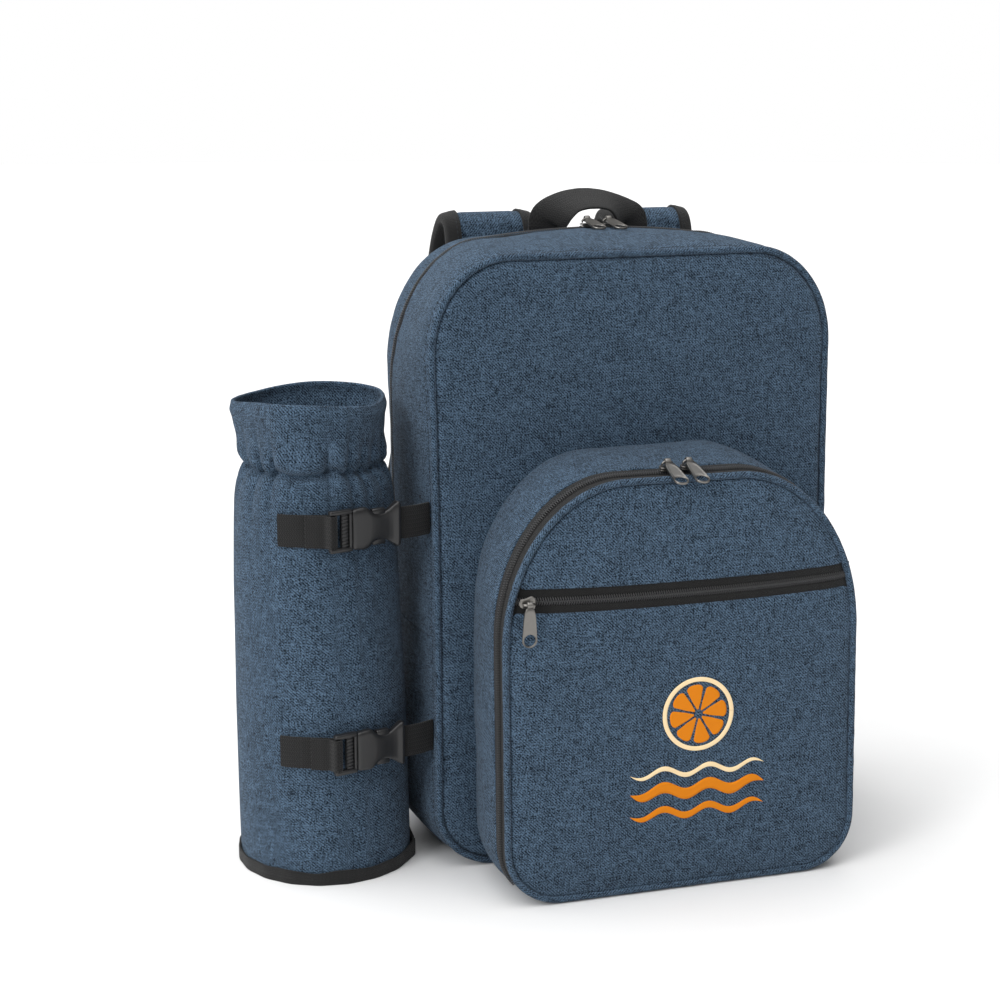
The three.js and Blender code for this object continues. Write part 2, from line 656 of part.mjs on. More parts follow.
// A slider and its pull. The slider sits at a point of the coil, turned about X by lie, and the pull
// droops by droop from the slider's plane.
function buildSlider(name, place, lie, droop) {
  const turn = new THREE.Group();
  turn.position.copy(place);
  turn.rotation.x = lie;
  const slider = new THREE.Mesh(sliderGeometry(), COLOURS.nickel);
  slider.name = `${name}_slider`;
  const pull = new THREE.Mesh(pullGeometry(), COLOURS.nickel);
  pull.name = `${name}_pull`;
  pull.position.z = SLIDER_T + BRIDGE_H;
  pull.rotation.x = droop;
  turn.add(slider, pull);
  bag.add(turn);
}

const MAIN_PULL_DROOP = 10;
const POCKET_PULL_DROOP = 20;
function buildSliders() {
  const zipZ = (x) => {
    const ring = mainRing(ZIP_DEPTH);
    const share = Math.abs(x) / (ring.half - ring.cornerX);
    const crown = share < 0.5 ? lerp(1, CROWN_SHOULDER, share * 2) : lerp(CROWN_SHOULDER, 0, share * 2 - 1);
    return ring.top + ring.crown * crown;
  };
  MAIN_SLIDERS_X.forEach((x, i) => {
    const z = zipZ(x);
    buildSlider(`main_${"ab"[i]}`, vec(x, mainY(ZIP_DEPTH, z), z + GAP), 0, rad(MAIN_PULL_DROOP));
  });
  const middle = PIPING_D / 2 + GAP + POCKET_ZIP_W / 2;
  const topAt = (behind) => pocketRing(1 - behind / POCKET_D).top;
  const slope = Math.atan2(topAt(middle + SLIDER_W / 2) - topAt(middle - SLIDER_W / 2), SLIDER_W);
  const z = topAt(middle) - TAPE_SUNK + GAP + COIL_T + GAP;
  POCKET_SLIDERS_X.forEach((x, i) => {
    const y = pocketY(1 - middle / POCKET_D, z, x);
    buildSlider(`pocket_${"ab"[i]}`, vec(x, y, z), slope, rad(POCKET_PULL_DROOP) - slope);
  });
  const crossZ = crossZipZ(CROSS_SLIDER_X);
  const y = pocketFace(CROSS_SLIDER_X, crossZ) + CROSS_SUNK - COIL_T - 4 * GAP;
  buildSlider("cross", vec(CROSS_SLIDER_X, y, crossZ), Math.PI / 2, 0);
}

// Half of the carry handle from its foot to the middle of its grip, as shares of its span and rise, with
// its roll in degrees from facing forward to facing up.
const HANDLE_ROWS = [
  { across: 1, rise: 0, roll: 0 },
  { across: 1, rise: 0.12, roll: 0 },
  { across: 0.98, rise: 0.3, roll: 8 },
  { across: 0.88, rise: 0.47, roll: 26 },
  { across: 0.7, rise: 0.7, roll: 52 },
  { across: 0.46, rise: 0.9, roll: 76 },
  { across: 0.2, rise: 0.985, roll: 88 },
  { across: 0, rise: 1, roll: 90 },
];
function buildHandle() {
  const depth = ZIP_DEPTH + HANDLE_SETBACK / MAIN_D;
  const foot = mainRing(depth);
  const footZ = foot.top + foot.crown + GAP;
  const y = mainY(depth, footZ);
  const half = (row, side) => {
    const roll = rad(row.roll);
    const tip = rad(HANDLE_TIP);
    return {
      at: vec(HANDLE_X + (side * row.across * HANDLE_SPAN) / 2, y, footZ + row.rise * HANDLE_RISE),
      across: vec(side * Math.cos(roll), Math.sin(roll) * Math.cos(tip), Math.sin(roll) * Math.sin(tip)),
    };
  };
  const rows = [
    ...HANDLE_ROWS.map((row) => half(row, -1)),
    ...HANDLE_ROWS.slice(0, -1).reverse().map((row) => half(row, 1)),
  ];
  addPiece("carry_handle", band(
    rows.map((row) => row.at), rows.map((row) => row.across), rows.map(() => HANDLE_W), HANDLE_T,
  ), COLOURS.webbing);
}

// A shoulder strap from its sewn end at the back's top to its lower end: off is the share of its reach
// behind the bag, and out the share of the way from its seam to its anchor.
const STRAP_ROWS = [
  { height: 0.945, off: 0.02, out: 0, width: 1 },
  { height: 0.985, off: 0.05, out: 0, width: 1 },
  { height: 1.018, off: 0.17, out: 0, width: 1 },
  { height: 1.03, off: 0.38, out: 0, width: 1 },
  { height: 1.021, off: 0.62, out: 0.01, width: 1 },
  { height: 0.985, off: 0.85, out: 0.03, width: 1 },
  { height: 0.92, off: 0.97, out: 0.08, width: 1 },
  { height: 0.83, off: 1, out: 0.18, width: 1 },
  { height: 0.73, off: 0.98, out: 0.38, width: 0.98 },
  { height: 0.63, off: 0.9, out: 0.64, width: 0.95 },
  { height: 0.53, off: 0.78, out: 0.88, width: 0.86 },
  { height: 0.45, off: 0.66, out: 1, width: 0.72 },
];
const BIND_GAP = 0.5;
const STRAP_OFF_LEAST = STRAP_T / 2 + BIND_GAP + STRAP_BIND_T + GAP;

const STRAP_PATH = STRAP_ROWS.map((row) => vec(
  lerp(STRAP_X, ANCHOR_X, row.out),
  BACK_Y + STRAP_OFF_LEAST + row.off * STRAP_REACH,
  row.height * MAIN_H,
));

// The right strap's cross-section frame at each point of its path.
const STRAP_FRAMES = STRAP_PATH.map((p, i) => {
  const next = STRAP_PATH[Math.min(i + 1, STRAP_PATH.length - 1)];
  const along = next.clone().sub(STRAP_PATH[Math.max(i - 1, 0)]).normalize();
  const across = vec(1, 0, 0).addScaledVector(along, -along.x).normalize();
  const up = along.clone().cross(across).normalize();
  return { p, along, across, up, width: STRAP_ROWS[i].width * STRAP_W };
});

// A strip carried along a strap: section gives its loop of points across and above the path for a width.
function alongStrap(side, section) {
  return loft(STRAP_FRAMES.map(({ p, across, up, width }) => section(width).map(([u, v]) => {
    const q = p.clone().addScaledVector(across, u).addScaledVector(up, v);
    return vec(side * q.x + STRAP_SKEW, q.y, q.z);
  })));
}

// The padded core thins towards its long edges, where the binding folds over it.
const STRAP_EDGE = 0.45;
function strapCore(width) {
  const half = width / 2 - STRAP_BIND_T - BIND_GAP;
  const rim = half - STRAP_BIND_W - BIND_GAP;
  const thick = STRAP_T / 2;
  const thin = thick * STRAP_EDGE;
  const face = [[-half, thin], [-rim, thick], [0, thick], [rim, thick], [half, thin]];
  return [...face, ...face.map(([u, v]) => [u, -v]).reverse()];
}

// The binding is a channel round the core's edge: its outer face and then its inner face.
function strapBinding(width, edge) {
  const out = width / 2;
  const inner = out - STRAP_BIND_W;
  const deep = out - STRAP_BIND_T;
  const thin = (STRAP_T / 2) * STRAP_EDGE;
  const lip = thin + (STRAP_T / 2 - thin) * (1 - BIND_GAP / STRAP_BIND_W);
  const over = BIND_GAP + STRAP_BIND_T;
  return [
    [inner, lip + over], [out, thin + over], [out, -thin - over], [inner, -lip - over],
    [inner, -lip - BIND_GAP], [deep, -thin - BIND_GAP], [deep, thin + BIND_GAP], [inner, lip + BIND_GAP],
  ].map(([u, v]) => [edge * u, v]);
}

// A plate along X with slots across it. Each slot has its middle along the plate, its size there and its
// reach across, no two alike in reach.
function slottedPlate(length, width, thickness, slots) {
  const plate = new THREE.Shape();
  const [l, w, r] = [length / 2, width / 2, thickness / 2];
  plate.moveTo(-l + r, -w).lineTo(l - r, -w).lineTo(l, -w + r).lineTo(l, w - r).lineTo(l - r, w);
  plate.lineTo(-l + r, w).lineTo(-l, w - r).lineTo(-l, -w + r).closePath();
  for (const [middle, size, reach] of slots) {
    const hole = new THREE.Path();
    hole.moveTo(middle - size / 2, -reach / 2).lineTo(middle - size / 2, reach / 2);
    hole.lineTo(middle + size / 2, reach / 2).lineTo(middle + size / 2, -reach / 2);
    plate.holes.push(hole);
  }
  const geometry = new THREE.ExtrudeGeometry(plate, { depth: thickness, bevelEnabled: false });
  return geometry.translate(0, 0, -thickness / 2);
}

// The anchor webbing runs straight out of the lock, sags a little and lies down on the back above its end.
function anchorRoute(leave, down, foot) {
  return [
    leave,
    leave.clone().addScaledVector(down, ANCHOR_LEAD),
    leave.clone().lerp(foot, 0.5).add(vec(0, ANCHOR_SAG, 0)),
    foot.clone().add(vec(0, ANCHOR_T, ANCHOR_LAY)),
    foot,
  ];
}

function buildShoulderStraps() {
  for (const [name, side] of [["left", -1], ["right", 1]]) {
    addPiece(`shoulder_strap_${name}`, alongStrap(side, strapCore), COLOURS.melange);
    for (const [where, edge] of [["inner", -1], ["outer", 1]]) {
      const strip = alongStrap(side, (width) => strapBinding(width, edge));
      addPiece(`strap_binding_${where}_${name}`, strip, COLOURS.webbing);
    }

    // The ladder lock carries on the strap's line, and the anchor webbing runs from it to the back's foot.
    const { p: end, along: down, across, up } = STRAP_FRAMES.at(-1);
    const middle = end.clone().addScaledVector(down, LOCK_L / 2 + GAP);
    const lockW = ANCHOR_W + 2 * LOCK_RIM;
    const lock = slottedPlate(LOCK_L, lockW, LOCK_T, LOCK_SLOTS.map((x, i) => {
      return [x, LOCK_SLOT_W, ANCHOR_W + (i + 1) * SLOT_CLEAR];
    }));
    lock.applyMatrix4(new THREE.Matrix4().makeBasis(down, across, up).setPosition(middle));
    const points = lock.attributes.position;
    for (let i = 0; i < points.count; i++) points.setX(i, side * points.getX(i) + STRAP_SKEW);
    addPiece(`ladder_lock_${name}`, side < 0 ? turned(lock) : lock, COLOURS.plastic);
    const leave = middle.clone().addScaledVector(down, LOCK_L / 2 + GAP);
    const foot = vec(end.x, BACK_Y + GAP + ANCHOR_T / 2, ANCHOR_FOOT_Z);
    const route = anchorRoute(leave, down, foot).map((p) => vec(side * p.x + STRAP_SKEW, p.y, p.z));
    addPiece(`anchor_webbing_${name}`, band(
      route, route.map(() => vec(1, 0, 0)), route.map(() => ANCHOR_W), ANCHOR_T,
    ), COLOURS.webbing);
  }
}

// The bottle holder's sleeve from its foot to its rim, as shares of its height and radius. tuck is how
// much of the gathers shows, and flare how much of the rim's uneven shape.
const HOLDER_ROWS = [
  { height: 0.006, radius: 1, tuck: 0, flare: 0 },
  { height: 0.1, radius: 1, tuck: 0, flare: 0 },
  { height: 0.36, radius: 0.985, tuck: 0.02, flare: 0 },
  { height: 0.61, radius: 0.945, tuck: 0.05, flare: 0 },
  { height: 0.748, radius: 0.91, tuck: 0.2, flare: 0 },
  { height: 0.804, radius: 0.895, tuck: 0.45, flare: 0 },
  { height: 0.841, radius: 0.855, tuck: 0.8, flare: 0 },
  { height: 0.86, radius: 0.775, tuck: 1, flare: 0.1 },
  { height: 0.877, radius: 0.76, tuck: 0.9, flare: 0.2 },
  { height: 0.917, radius: 0.81, tuck: 0.4, flare: 0.5 },
  { height: 0.96, radius: 0.85, tuck: 0.15, flare: 0.85 },
  { height: 1, radius: 0.85, tuck: 0.05, flare: 1 },
];
const HOLDER_LINING_ROWS = [0, 3, 5, 7, 8, 9, 11]; // the rows that its inner face follows
const HOLDER_STEPS = 44;
const HOLDER_X = -((MAIN_RINGS[3].width * MAIN_W) / 2 + HOLDER_CLEAR + HOLDER_R);
const HOLDER_Y = -7.7;
const RIM_SWELL = 2.6; // how far the rim's corners stand out
const RIM_WAVE = 2.5; // how far the rim's edge rises and falls

// The sleeve's surface at a height share and an angle, drawn in by inset.
function holderPoint(height, angle, inset) {
  const share = (column) => tableAt(HOLDER_ROWS, column, "height", height);
  const fold = Math.sin(TUCKS * angle + 1.3 * Math.sin(2 * angle)) * (0.7 + 0.3 * Math.sin(3 * angle + 1));
  const corners = Math.sin(3 * angle + 0.6) + 0.5 * Math.sin(5 * angle);
  const r = share("radius") * HOLDER_R - inset + share("tuck") * TUCK_DEPTH * (fold - 0.4)
    + share("flare") * RIM_SWELL * corners;
  const z = height * HOLDER_H + share("flare") * RIM_WAVE * Math.sin(2 * angle - 0.5);
  return vec(HOLDER_X - HOLDER_TILT * height + r * Math.cos(angle), HOLDER_Y + r * Math.sin(angle), z);
}

function holderRing(height, inset) {
  return Array.from({ length: HOLDER_STEPS }, (_, i) => {
    return holderPoint(height, (i / HOLDER_STEPS) * 2 * Math.PI, inset);
  });
}

function buildHolder() {
  const outer = HOLDER_ROWS.map((row) => holderRing(row.height, 0));
  const inner = HOLDER_LINING_ROWS.map((row) => holderRing(HOLDER_ROWS[row].height, HOLDER_WALL)).reverse();
  addPiece("holder_sleeve", loft([...outer, ...inner], "closed"), COLOURS.melange);

  const floorZ = HOLDER_ROWS[0].height * HOLDER_H;
  const disc = (z) => holderRing(HOLDER_ROWS[0].height, HOLDER_WALL + GAP).map((p) => p.clone().setZ(z));
  addPiece("holder_base", loft([disc(floorZ), disc(floorZ + HOLDER_BASE_T)], "fan"), COLOURS.melange);

  // The binding runs round the outside of the sleeve's foot.
  const low = HOLDER_ROWS[0].height;
  const ring = (inset, z) => holderRing(low, inset).map((p) => p.clone().setZ(z));
  const out = -GAP - HOLDER_BIND_T;
  addPiece("holder_binding", loft([
    ring(out, 0), ring(out, HOLDER_BIND_H), ring(-GAP, HOLDER_BIND_H), ring(-GAP, 0),
  ], "closed"), COLOURS.webbing);
}

// The buckle's plug half: a frame with a slot for the webbing's bar, and two arms that spring out in
// the shell's side windows. The buckle lies along X with its webbing bar's slot at the start.
const ROOT_L = 1; // how far a piece that is joined or cut reaches past the face it meets

// Two cutters that leave only the middle of a plate's thickness along the bar between two places.
function thinBar(from, to) {
  const height = BUCKLE_T;
  return [-1, 1].map((side) => {
    const z = side * (BAR_T / 2 + height / 2);
    return box(to - from, WEB_W + SLOT_CLEAR, height, (from + to) / 2, 0, z);
  });
}

function plugGeometry() {
  const end = FRAME_L / 2;
  const frame = slottedPlate(FRAME_L, BUCKLE_W, PLUG_T, [
    [-end + BAR_W + SLOT_W / 2, SLOT_W, WEB_W + SLOT_CLEAR],
    [end - BAR_W, SLOT_W / 2, WEB_W - SLOT_W / 2],
  ]);
  const armZ = BUCKLE_T - 2 * BUCKLE_WALL - 2 * GAP;
  const arms = [-1, 1].map((side) => {
    const y = side * (BUCKLE_W / 2 - BUCKLE_WALL - GAP - ARM_T / 2 - ARM_INSET);
    return box(ARM_L, ARM_T, armZ, end + ARM_L / 2 - ROOT_L, y, 0);
  });
  return cut(join([frame, ...arms]), thinBar(-end - ROOT_L, -end + BAR_W + SLOT_W / 2));
}

// Half of the shell's outline from the plug's side to the webbing's bar, as shares of its length and half
// its width. Its side windows draw it in to a waist.
const SHELL_OUTLINE = [
  { along: 0, across: 0.94 },
  { along: 0.22, across: 1 },
  { along: 0.33, across: 0.96 },
  { along: 0.41, across: 0.78 },
  { along: 0.48, across: 0.63 },
  { along: 0.54, across: 0.6 },
  { along: 0.6, across: 0.67 },
  { along: 0.7, across: 0.87 },
  { along: 0.76, across: 0.93 },
  { along: 0.9, across: 0.98 },
  { along: 1, across: 1.05 },
];

// The socket half: a waisted hollow shell with a bar and a slot for the other webbing.
function shellGeometry() {
  const edge = SHELL_OUTLINE.map(({ along, across }) => {
    return new THREE.Vector2(along * SHELL_L, (-across * BUCKLE_W) / 2);
  });
  const shape = new THREE.Shape([...edge, ...edge.map((p) => new THREE.Vector2(p.x, -p.y)).reverse()]);
  const body = new THREE.ExtrudeGeometry(shape, { depth: BUCKLE_T, bevelEnabled: false });
  body.translate(0, 0, -BUCKLE_T / 2);
  const cavityL = ARM_L + 2 * GAP;
  const cavityW = BUCKLE_W - 2 * (BUCKLE_WALL + ARM_INSET);
  const cavity = box(cavityL + ROOT_L, cavityW, BUCKLE_T - 2 * BUCKLE_WALL, (cavityL - ROOT_L) / 2, 0, 0);
  const slotX = SHELL_L - BAR_W - SLOT_W / 2;
  const slot = box(SLOT_W, WEB_W + SLOT_CLEAR, 2 * BUCKLE_T, slotX, 0, 0);
  return cut(body, [cavity, slot, ...thinBar(slotX, SHELL_L + ROOT_L)]);
}

// One strap of the bottle holder: the webbing on the holder, the closed buckle, and the webbing to the
// bag's front seam. The buckle lies on the straight line from that seam that just clears the sleeve.
function buildHolderStrap(name, { z, webbing: sewnL, setback }) {
  const height = z / HOLDER_H;
  const r = tableAt(HOLDER_ROWS, "radius", "height", height) * HOLDER_R;
  const centre = HOLDER_X - HOLDER_TILT * height;
  const behind = PIPING_D + WEB_T;
  const seamX = -halfAt(mainRing((behind + WEB_T) / LEAST_DEPTH), MAIN_SEAMS, z);
  const end = vec(seamX - GAP, frontY(z) + behind, z);
  const axle = vec(centre, HOLDER_Y, z);
  const clearR = r + BUCKLE_T / 2 + BUCKLE_LIFT;
  const turn = Math.asin(clearR / end.distanceTo(axle));
  const along = end.clone().sub(axle).normalize().applyAxisAngle(vec(0, 0, 1), turn);
  const start = end.clone().addScaledVector(along, (centre - setback - end.x) / along.x);
  const up = vec(0, 0, 1);
  const out = along.clone().cross(up).normalize();
  const frame = new THREE.Group();
  frame.position.copy(start);
  frame.quaternion.setFromRotationMatrix(new THREE.Matrix4().makeBasis(along, up, out));
  const put = (label, geometry, material) => {
    const mesh = new THREE.Mesh(geometry, material);
    mesh.name = label;
    frame.add(mesh);
    return mesh;
  };
  put(`buckle_plug_${name}`, plugGeometry(), COLOURS.plastic).position.x = FRAME_L / 2;
  put(`buckle_shell_${name}`, shellGeometry(), COLOURS.plastic).position.x = FRAME_L + GAP;

  // On the holder the webbing follows the sleeve from its sewn end, leaves it in a straight line, and folds
  // round the plug's bar and back onto itself.
  const loopR = Math.hypot(BAR_W, BAR_T) / 2 + GAP + WEB_T / 2;
  const sleeve = r + 4 * GAP + WEB_T / 2;
  const toBar = start.clone().addScaledVector(along, BAR_W / 2).sub(axle);
  const leave = Math.atan2(toBar.y, toBar.x) - Math.acos((sleeve + loopR) / toBar.length());
  const sewn = -Math.PI / 2 - sewnL / sleeve;
  const lay = [0, 0.5, 1].map((share) => {
    const angle = lerp(sewn, leave, share);
    const d = vec(sleeve * Math.cos(angle), sleeve * Math.sin(angle), 0).add(axle).sub(start);
    return vec(d.dot(along), 0, d.dot(out));
  });
  const lead = vec(-Math.sin(leave), Math.cos(leave), 0);
  const tilt = Math.atan2(lead.dot(out), lead.dot(along));
  const bend = Array.from({ length: 5 }, (_, i) => {
    const a = tilt - Math.PI / 2 + (i / 4) * Math.PI;
    return vec(BAR_W / 2 + loopR * Math.cos(a), 0, loopR * Math.sin(a));
  });
  const back = [[TAIL_L / 2, 4 * GAP], [TAIL_L, 2 * GAP]].map(([before, over]) => {
    const rise = WEB_T + over - loopR;
    const x = BAR_W / 2 - before * Math.cos(tilt) - rise * Math.sin(tilt);
    return vec(x, 0, rise * Math.cos(tilt) - before * Math.sin(tilt));
  });
  const webbing = (path) => band(path, path.map(() => vec(0, 1, 0)), path.map(() => WEB_W), WEB_T);
  put(`holder_webbing_${name}`, webbing([...lay, ...bend, ...back]), COLOURS.webbing);

  // From the shell's bar the other webbing runs to the seam behind the bag's front piping.
  const reach = end.clone().sub(start).length();
  const shellBar = FRAME_L + GAP + SHELL_L - BAR_W / 2;
  const turnBack = Array.from({ length: 5 }, (_, i) => {
    const a = Math.PI / 2 + (i / 4) * Math.PI;
    return vec(shellBar + loopR * Math.cos(a), 0, loopR * Math.sin(a));
  });
  const tailZ = -WEB_T / 2 + WEB_T + 2 * GAP;
  const tail = [vec(shellBar + TAIL_L, 0, tailZ), vec(shellBar + TAIL_L / 2, 0, (loopR + tailZ) / 2)];
  const run = [vec(shellBar + TAIL_L / 4, 0, -loopR + GAP), vec(reach, 0, -WEB_T)];
  put(`bag_webbing_${name}`, webbing([...tail, ...turnBack, ...run]), COLOURS.webbing);
  bag.add(frame);
}

// The net pocket bulges from the bag's right side: a superellipse in plan whose depth follows rows.
const NET_RINGS = [
  { height: 0, bulge: 0.35 },
  { height: 0.2, bulge: 0.82 },
  { height: 0.5, bulge: 1 },
  { height: 0.8, bulge: 0.98 },
  { height: 1, bulge: 0.9 },
];
const NET_POWER = 3.2;

// A point of the net's plan: across runs from -1 at its front seam to 1 at its rear seam.
function netPoint(across, height, inset) {
  const z = lerp(NET_FOOT, NET_TOP, height);
  const y0 = -MAIN_D / 2 + NET_FRONT;
  const y1 = MAIN_D / 2 - NET_REAR;
  const angle = (across * Math.PI) / 2;
  const y = Math.sign(across) * Math.abs(Math.sin(angle)) ** (2 / NET_POWER);
  const x = Math.abs(Math.cos(angle)) ** (2 / NET_POWER);
  const yAt = (y0 + y1) / 2 + y * ((y1 - y0) / 2 - inset);
  const depth = (yAt - frontY(z)) / (BACK_Y - frontY(z));
  const side = halfAt(mainRing(depth), MAIN_SEAMS, z) + GAP;
  const bulge = tableAt(NET_RINGS, "bulge", "height", height) * NET_BULGE;
  return vec(side + GAP + x * (bulge - inset), yAt, z);
}

// The net as a wall with an open diamond in each cell.
function netGeometry() {
  const points = [];
  const triangles = [];
  const key = new Map();
  const at = (across, height, layer) => {
    const name = `${across.toFixed(5)},${height.toFixed(5)},${layer}`;
    if (!key.has(name)) {
      key.set(name, points.length);
      points.push(netPoint(across, height, layer * NET_T));
    }
    return key.get(name);
  };
  const quad = (a, b, c, d) => triangles.push([a, b, c], [a, c, d]);
  const du = 2 / NET_COLUMNS;
  const dv = 1 / NET_ROWS;
  for (let i = 0; i < NET_COLUMNS; i++) {
    for (let j = 0; j < NET_ROWS; j++) {
      const [u, v] = [-1 + i * du, j * dv];
      const corners = [[u, v], [u + du, v], [u + du, v + dv], [u, v + dv]];
      const middle = [u + du / 2, v + dv / 2];
      const hole = corners.map(([a, b]) => [
        lerp(middle[0], a, NET_OPEN), lerp(middle[1], b, NET_OPEN),
      ]);
      for (let k = 0; k < 4; k++) {
        const l = (k + 1) % 4;
        const rim = (list, m, layer) => at(list[m][0], list[m][1], layer);
        quad(rim(corners, k, 0), rim(corners, l, 0), rim(hole, l, 0), rim(hole, k, 0));
        quad(rim(corners, l, 1), rim(corners, k, 1), rim(hole, k, 1), rim(hole, l, 1));
        quad(rim(hole, k, 0), rim(hole, l, 0), rim(hole, l, 1), rim(hole, k, 1));
      }
    }
  }
  for (let i = 0; i < NET_COLUMNS; i++) {
    const [u0, u1] = [-1 + i * du, -1 + (i + 1) * du];
    quad(at(u1, 0, 0), at(u0, 0, 0), at(u0, 0, 1), at(u1, 0, 1));
    quad(at(u0, 1, 0), at(u1, 1, 0), at(u1, 1, 1), at(u0, 1, 1));
  }
  for (let j = 0; j < NET_ROWS; j++) {
    const [v0, v1] = [j * dv, (j + 1) * dv];
    quad(at(-1, v0, 0), at(-1, v1, 0), at(-1, v1, 1), at(-1, v0, 1));
    quad(at(1, v1, 0), at(1, v0, 0), at(1, v0, 1), at(1, v1, 1));
  }
  return closedGeometry(points, triangles);
}

function buildNetPocket() {
  addPiece("side_net", netGeometry(), COLOURS.net);
  // The hem is a band that sits on the net's upper edge.
  const rise = NET_HEM_H / (NET_TOP - NET_FOOT);
  const loops = [];
  for (let i = 0; i <= 2 * NET_COLUMNS; i++) {
    const across = -1 + i / NET_COLUMNS;
    const corner = (inset, up) => {
      const p = netPoint(across, 1, inset);
      p.z += GAP + up * rise * (NET_TOP - NET_FOOT);
      return p;
    };
    const out = -(NET_HEM_T - NET_T) / 2;
    loops.push([corner(out, 0), corner(out, 1), corner(out + NET_HEM_T, 1), corner(out + NET_HEM_T, 0)]);
  }
  addPiece("net_hem", loft(loops), COLOURS.webbing);
}

buildMainBag();
buildPocket();
buildSliders();
buildHandle();
buildShoulderStraps();
buildHolder();
buildHolderStrap("lower", LOWER_STRAP);
buildHolderStrap("upper", UPPER_STRAP);
buildNetPocket();

export default bag;
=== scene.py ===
"""A padded picnic cooler backpack with a bottle holder buckled to its side, dressed as sewn cloth."""

import json
import math

import bmesh
import bpy
import numpy as np
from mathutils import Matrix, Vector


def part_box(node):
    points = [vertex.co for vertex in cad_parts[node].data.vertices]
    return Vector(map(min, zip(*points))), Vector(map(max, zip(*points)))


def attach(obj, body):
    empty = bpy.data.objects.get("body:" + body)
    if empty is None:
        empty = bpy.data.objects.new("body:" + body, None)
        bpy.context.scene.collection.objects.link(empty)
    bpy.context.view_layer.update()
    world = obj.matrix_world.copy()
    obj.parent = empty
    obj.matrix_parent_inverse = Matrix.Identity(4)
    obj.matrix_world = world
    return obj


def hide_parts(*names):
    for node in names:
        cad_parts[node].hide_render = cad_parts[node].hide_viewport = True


bl_info = {
    "name": "Cooler backpack",
    "version": (1, 0, 0),
    "blender": (4, 5, 0),
    "location": "View3D > Sidebar > Backpack",
    "description": "Sews a padded cooler backpack with its straps, zips, buckles and bottle holder",
    "category": "Add Mesh",
}

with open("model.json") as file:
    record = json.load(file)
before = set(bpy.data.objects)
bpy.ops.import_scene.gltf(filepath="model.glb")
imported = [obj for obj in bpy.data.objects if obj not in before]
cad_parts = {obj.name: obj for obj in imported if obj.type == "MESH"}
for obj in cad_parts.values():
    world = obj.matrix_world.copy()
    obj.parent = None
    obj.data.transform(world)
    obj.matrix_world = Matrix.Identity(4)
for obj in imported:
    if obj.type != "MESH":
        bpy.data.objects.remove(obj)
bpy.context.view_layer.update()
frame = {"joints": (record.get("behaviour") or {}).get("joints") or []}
JOINTS = {joint["child"]: np.array(joint["pos_m"]) * 1000 for joint in frame["joints"]}

# Sizes are in millimetres, +Z up and the front towards -Y. A mesh is scaled to metres where it is made.
MM = 0.001
GAP = 0.3
PIPING_D = 4.5

# Main bag
MAIN_W = 272.0
MAIN_H = 385.0
MAIN_D = 125.0
MAIN_LEAN = 15.0
MAIN_WALL = 4.0
MAIN_CORNER_X = 52.0
MAIN_CORNER_Z = 59.0
MAIN_FOOT_R = 37.0
MAIN_CROWN = 5.0
MAIN_WAIST = 0.012
BACK_Y = MAIN_D / 2
LEAST_DEPTH = MAIN_D - MAIN_LEAN
ZIP_DEPTH = 0.66
ZIP_SLIT = 5.0
ZIP_END_Z = 150.0

# Front pocket
POCKET_W = 230.0
POCKET_TOP = 258.5
POCKET_D = 74.5
POCKET_SKEW = 4.4
POCKET_CORNER_X = 77.0
POCKET_CORNER_Z = 98.0
POCKET_FOOT = 0.6
POCKET_FOOT_R = 33.0
POCKET_WALL = 3.0
POCKET_BULGE = 8.0
POCKET_ZIP_W = 17.0
TAPE_SUNK = 0.6
CROSS_Z = 190.0
CROSS_W = 14.0
CROSS_SAG = 1.5

# Bottle holder
HOLDER_H = 297.0
HOLDER_R = 54.5
HOLDER_WALL = 2.6
HOLDER_TILT = 5.0
HOLDER_X = -(1.016 * MAIN_W / 2 + 0.6 + HOLDER_R)
HOLDER_Y = -7.7
HOLDER_LOW = 0.006
HOLDER_NECK = 0.866
PILLOWS = 17

# Carry handle
HANDLE_W = 25.0
HANDLE_T = 2.0
HANDLE_SPAN = 59.0
HANDLE_RISE = 20.0
HANDLE_X = 3.0
HANDLE_SETBACK = 14.0
HANDLE_TIP = 27.0

# Webbing and buckles. Each strap has its height, and its webbing and buckle start this far to the left of
# the holder's front.
WEB_W = 20.0
WEB_T = 1.4
STRAPS = {"lower": (87.0, 40.0, 8.0), "upper": (225.0, 35.0, 5.0)}
BUCKLE_W = 26.0
BUCKLE_T = 6.4
BUCKLE_LIFT = 1.4
FRAME_L = 15.0
SHELL_L = 32.0
BAR_W = 3.0
TAIL_L = 16.0

# Shoulder straps
STRAP_W = 64.0
STRAP_T = 8.0
BIND_W = 10.0
BIND_T = 1.0
BIND_GAP = 0.5
STRAP_X = 57.0
STRAP_SKEW = 4.0
STRAP_REACH = 36.0
ANCHOR_X = 104.0
ANCHOR_W = 25.0
LOCK_L = 24.0

# Net pocket
NET_TOP = 140.0
NET_FOOT = 40.0
NET_BULGE = 38.0
NET_POWER = 3.2
NET_HEM_H = 9.0

# Camera, as it stood before the bag
CAMERA_AT = (-0.47994, -1.15964, 0.49678)
CAMERA_PITCH = 12.611
CAMERA_YAW = -19.391
CAMERA_LENS = 70.16


def table(columns, *rows):
    """Rows of a table as one array for each named column."""
    return dict(zip(columns.split(), np.array(rows, float).T))


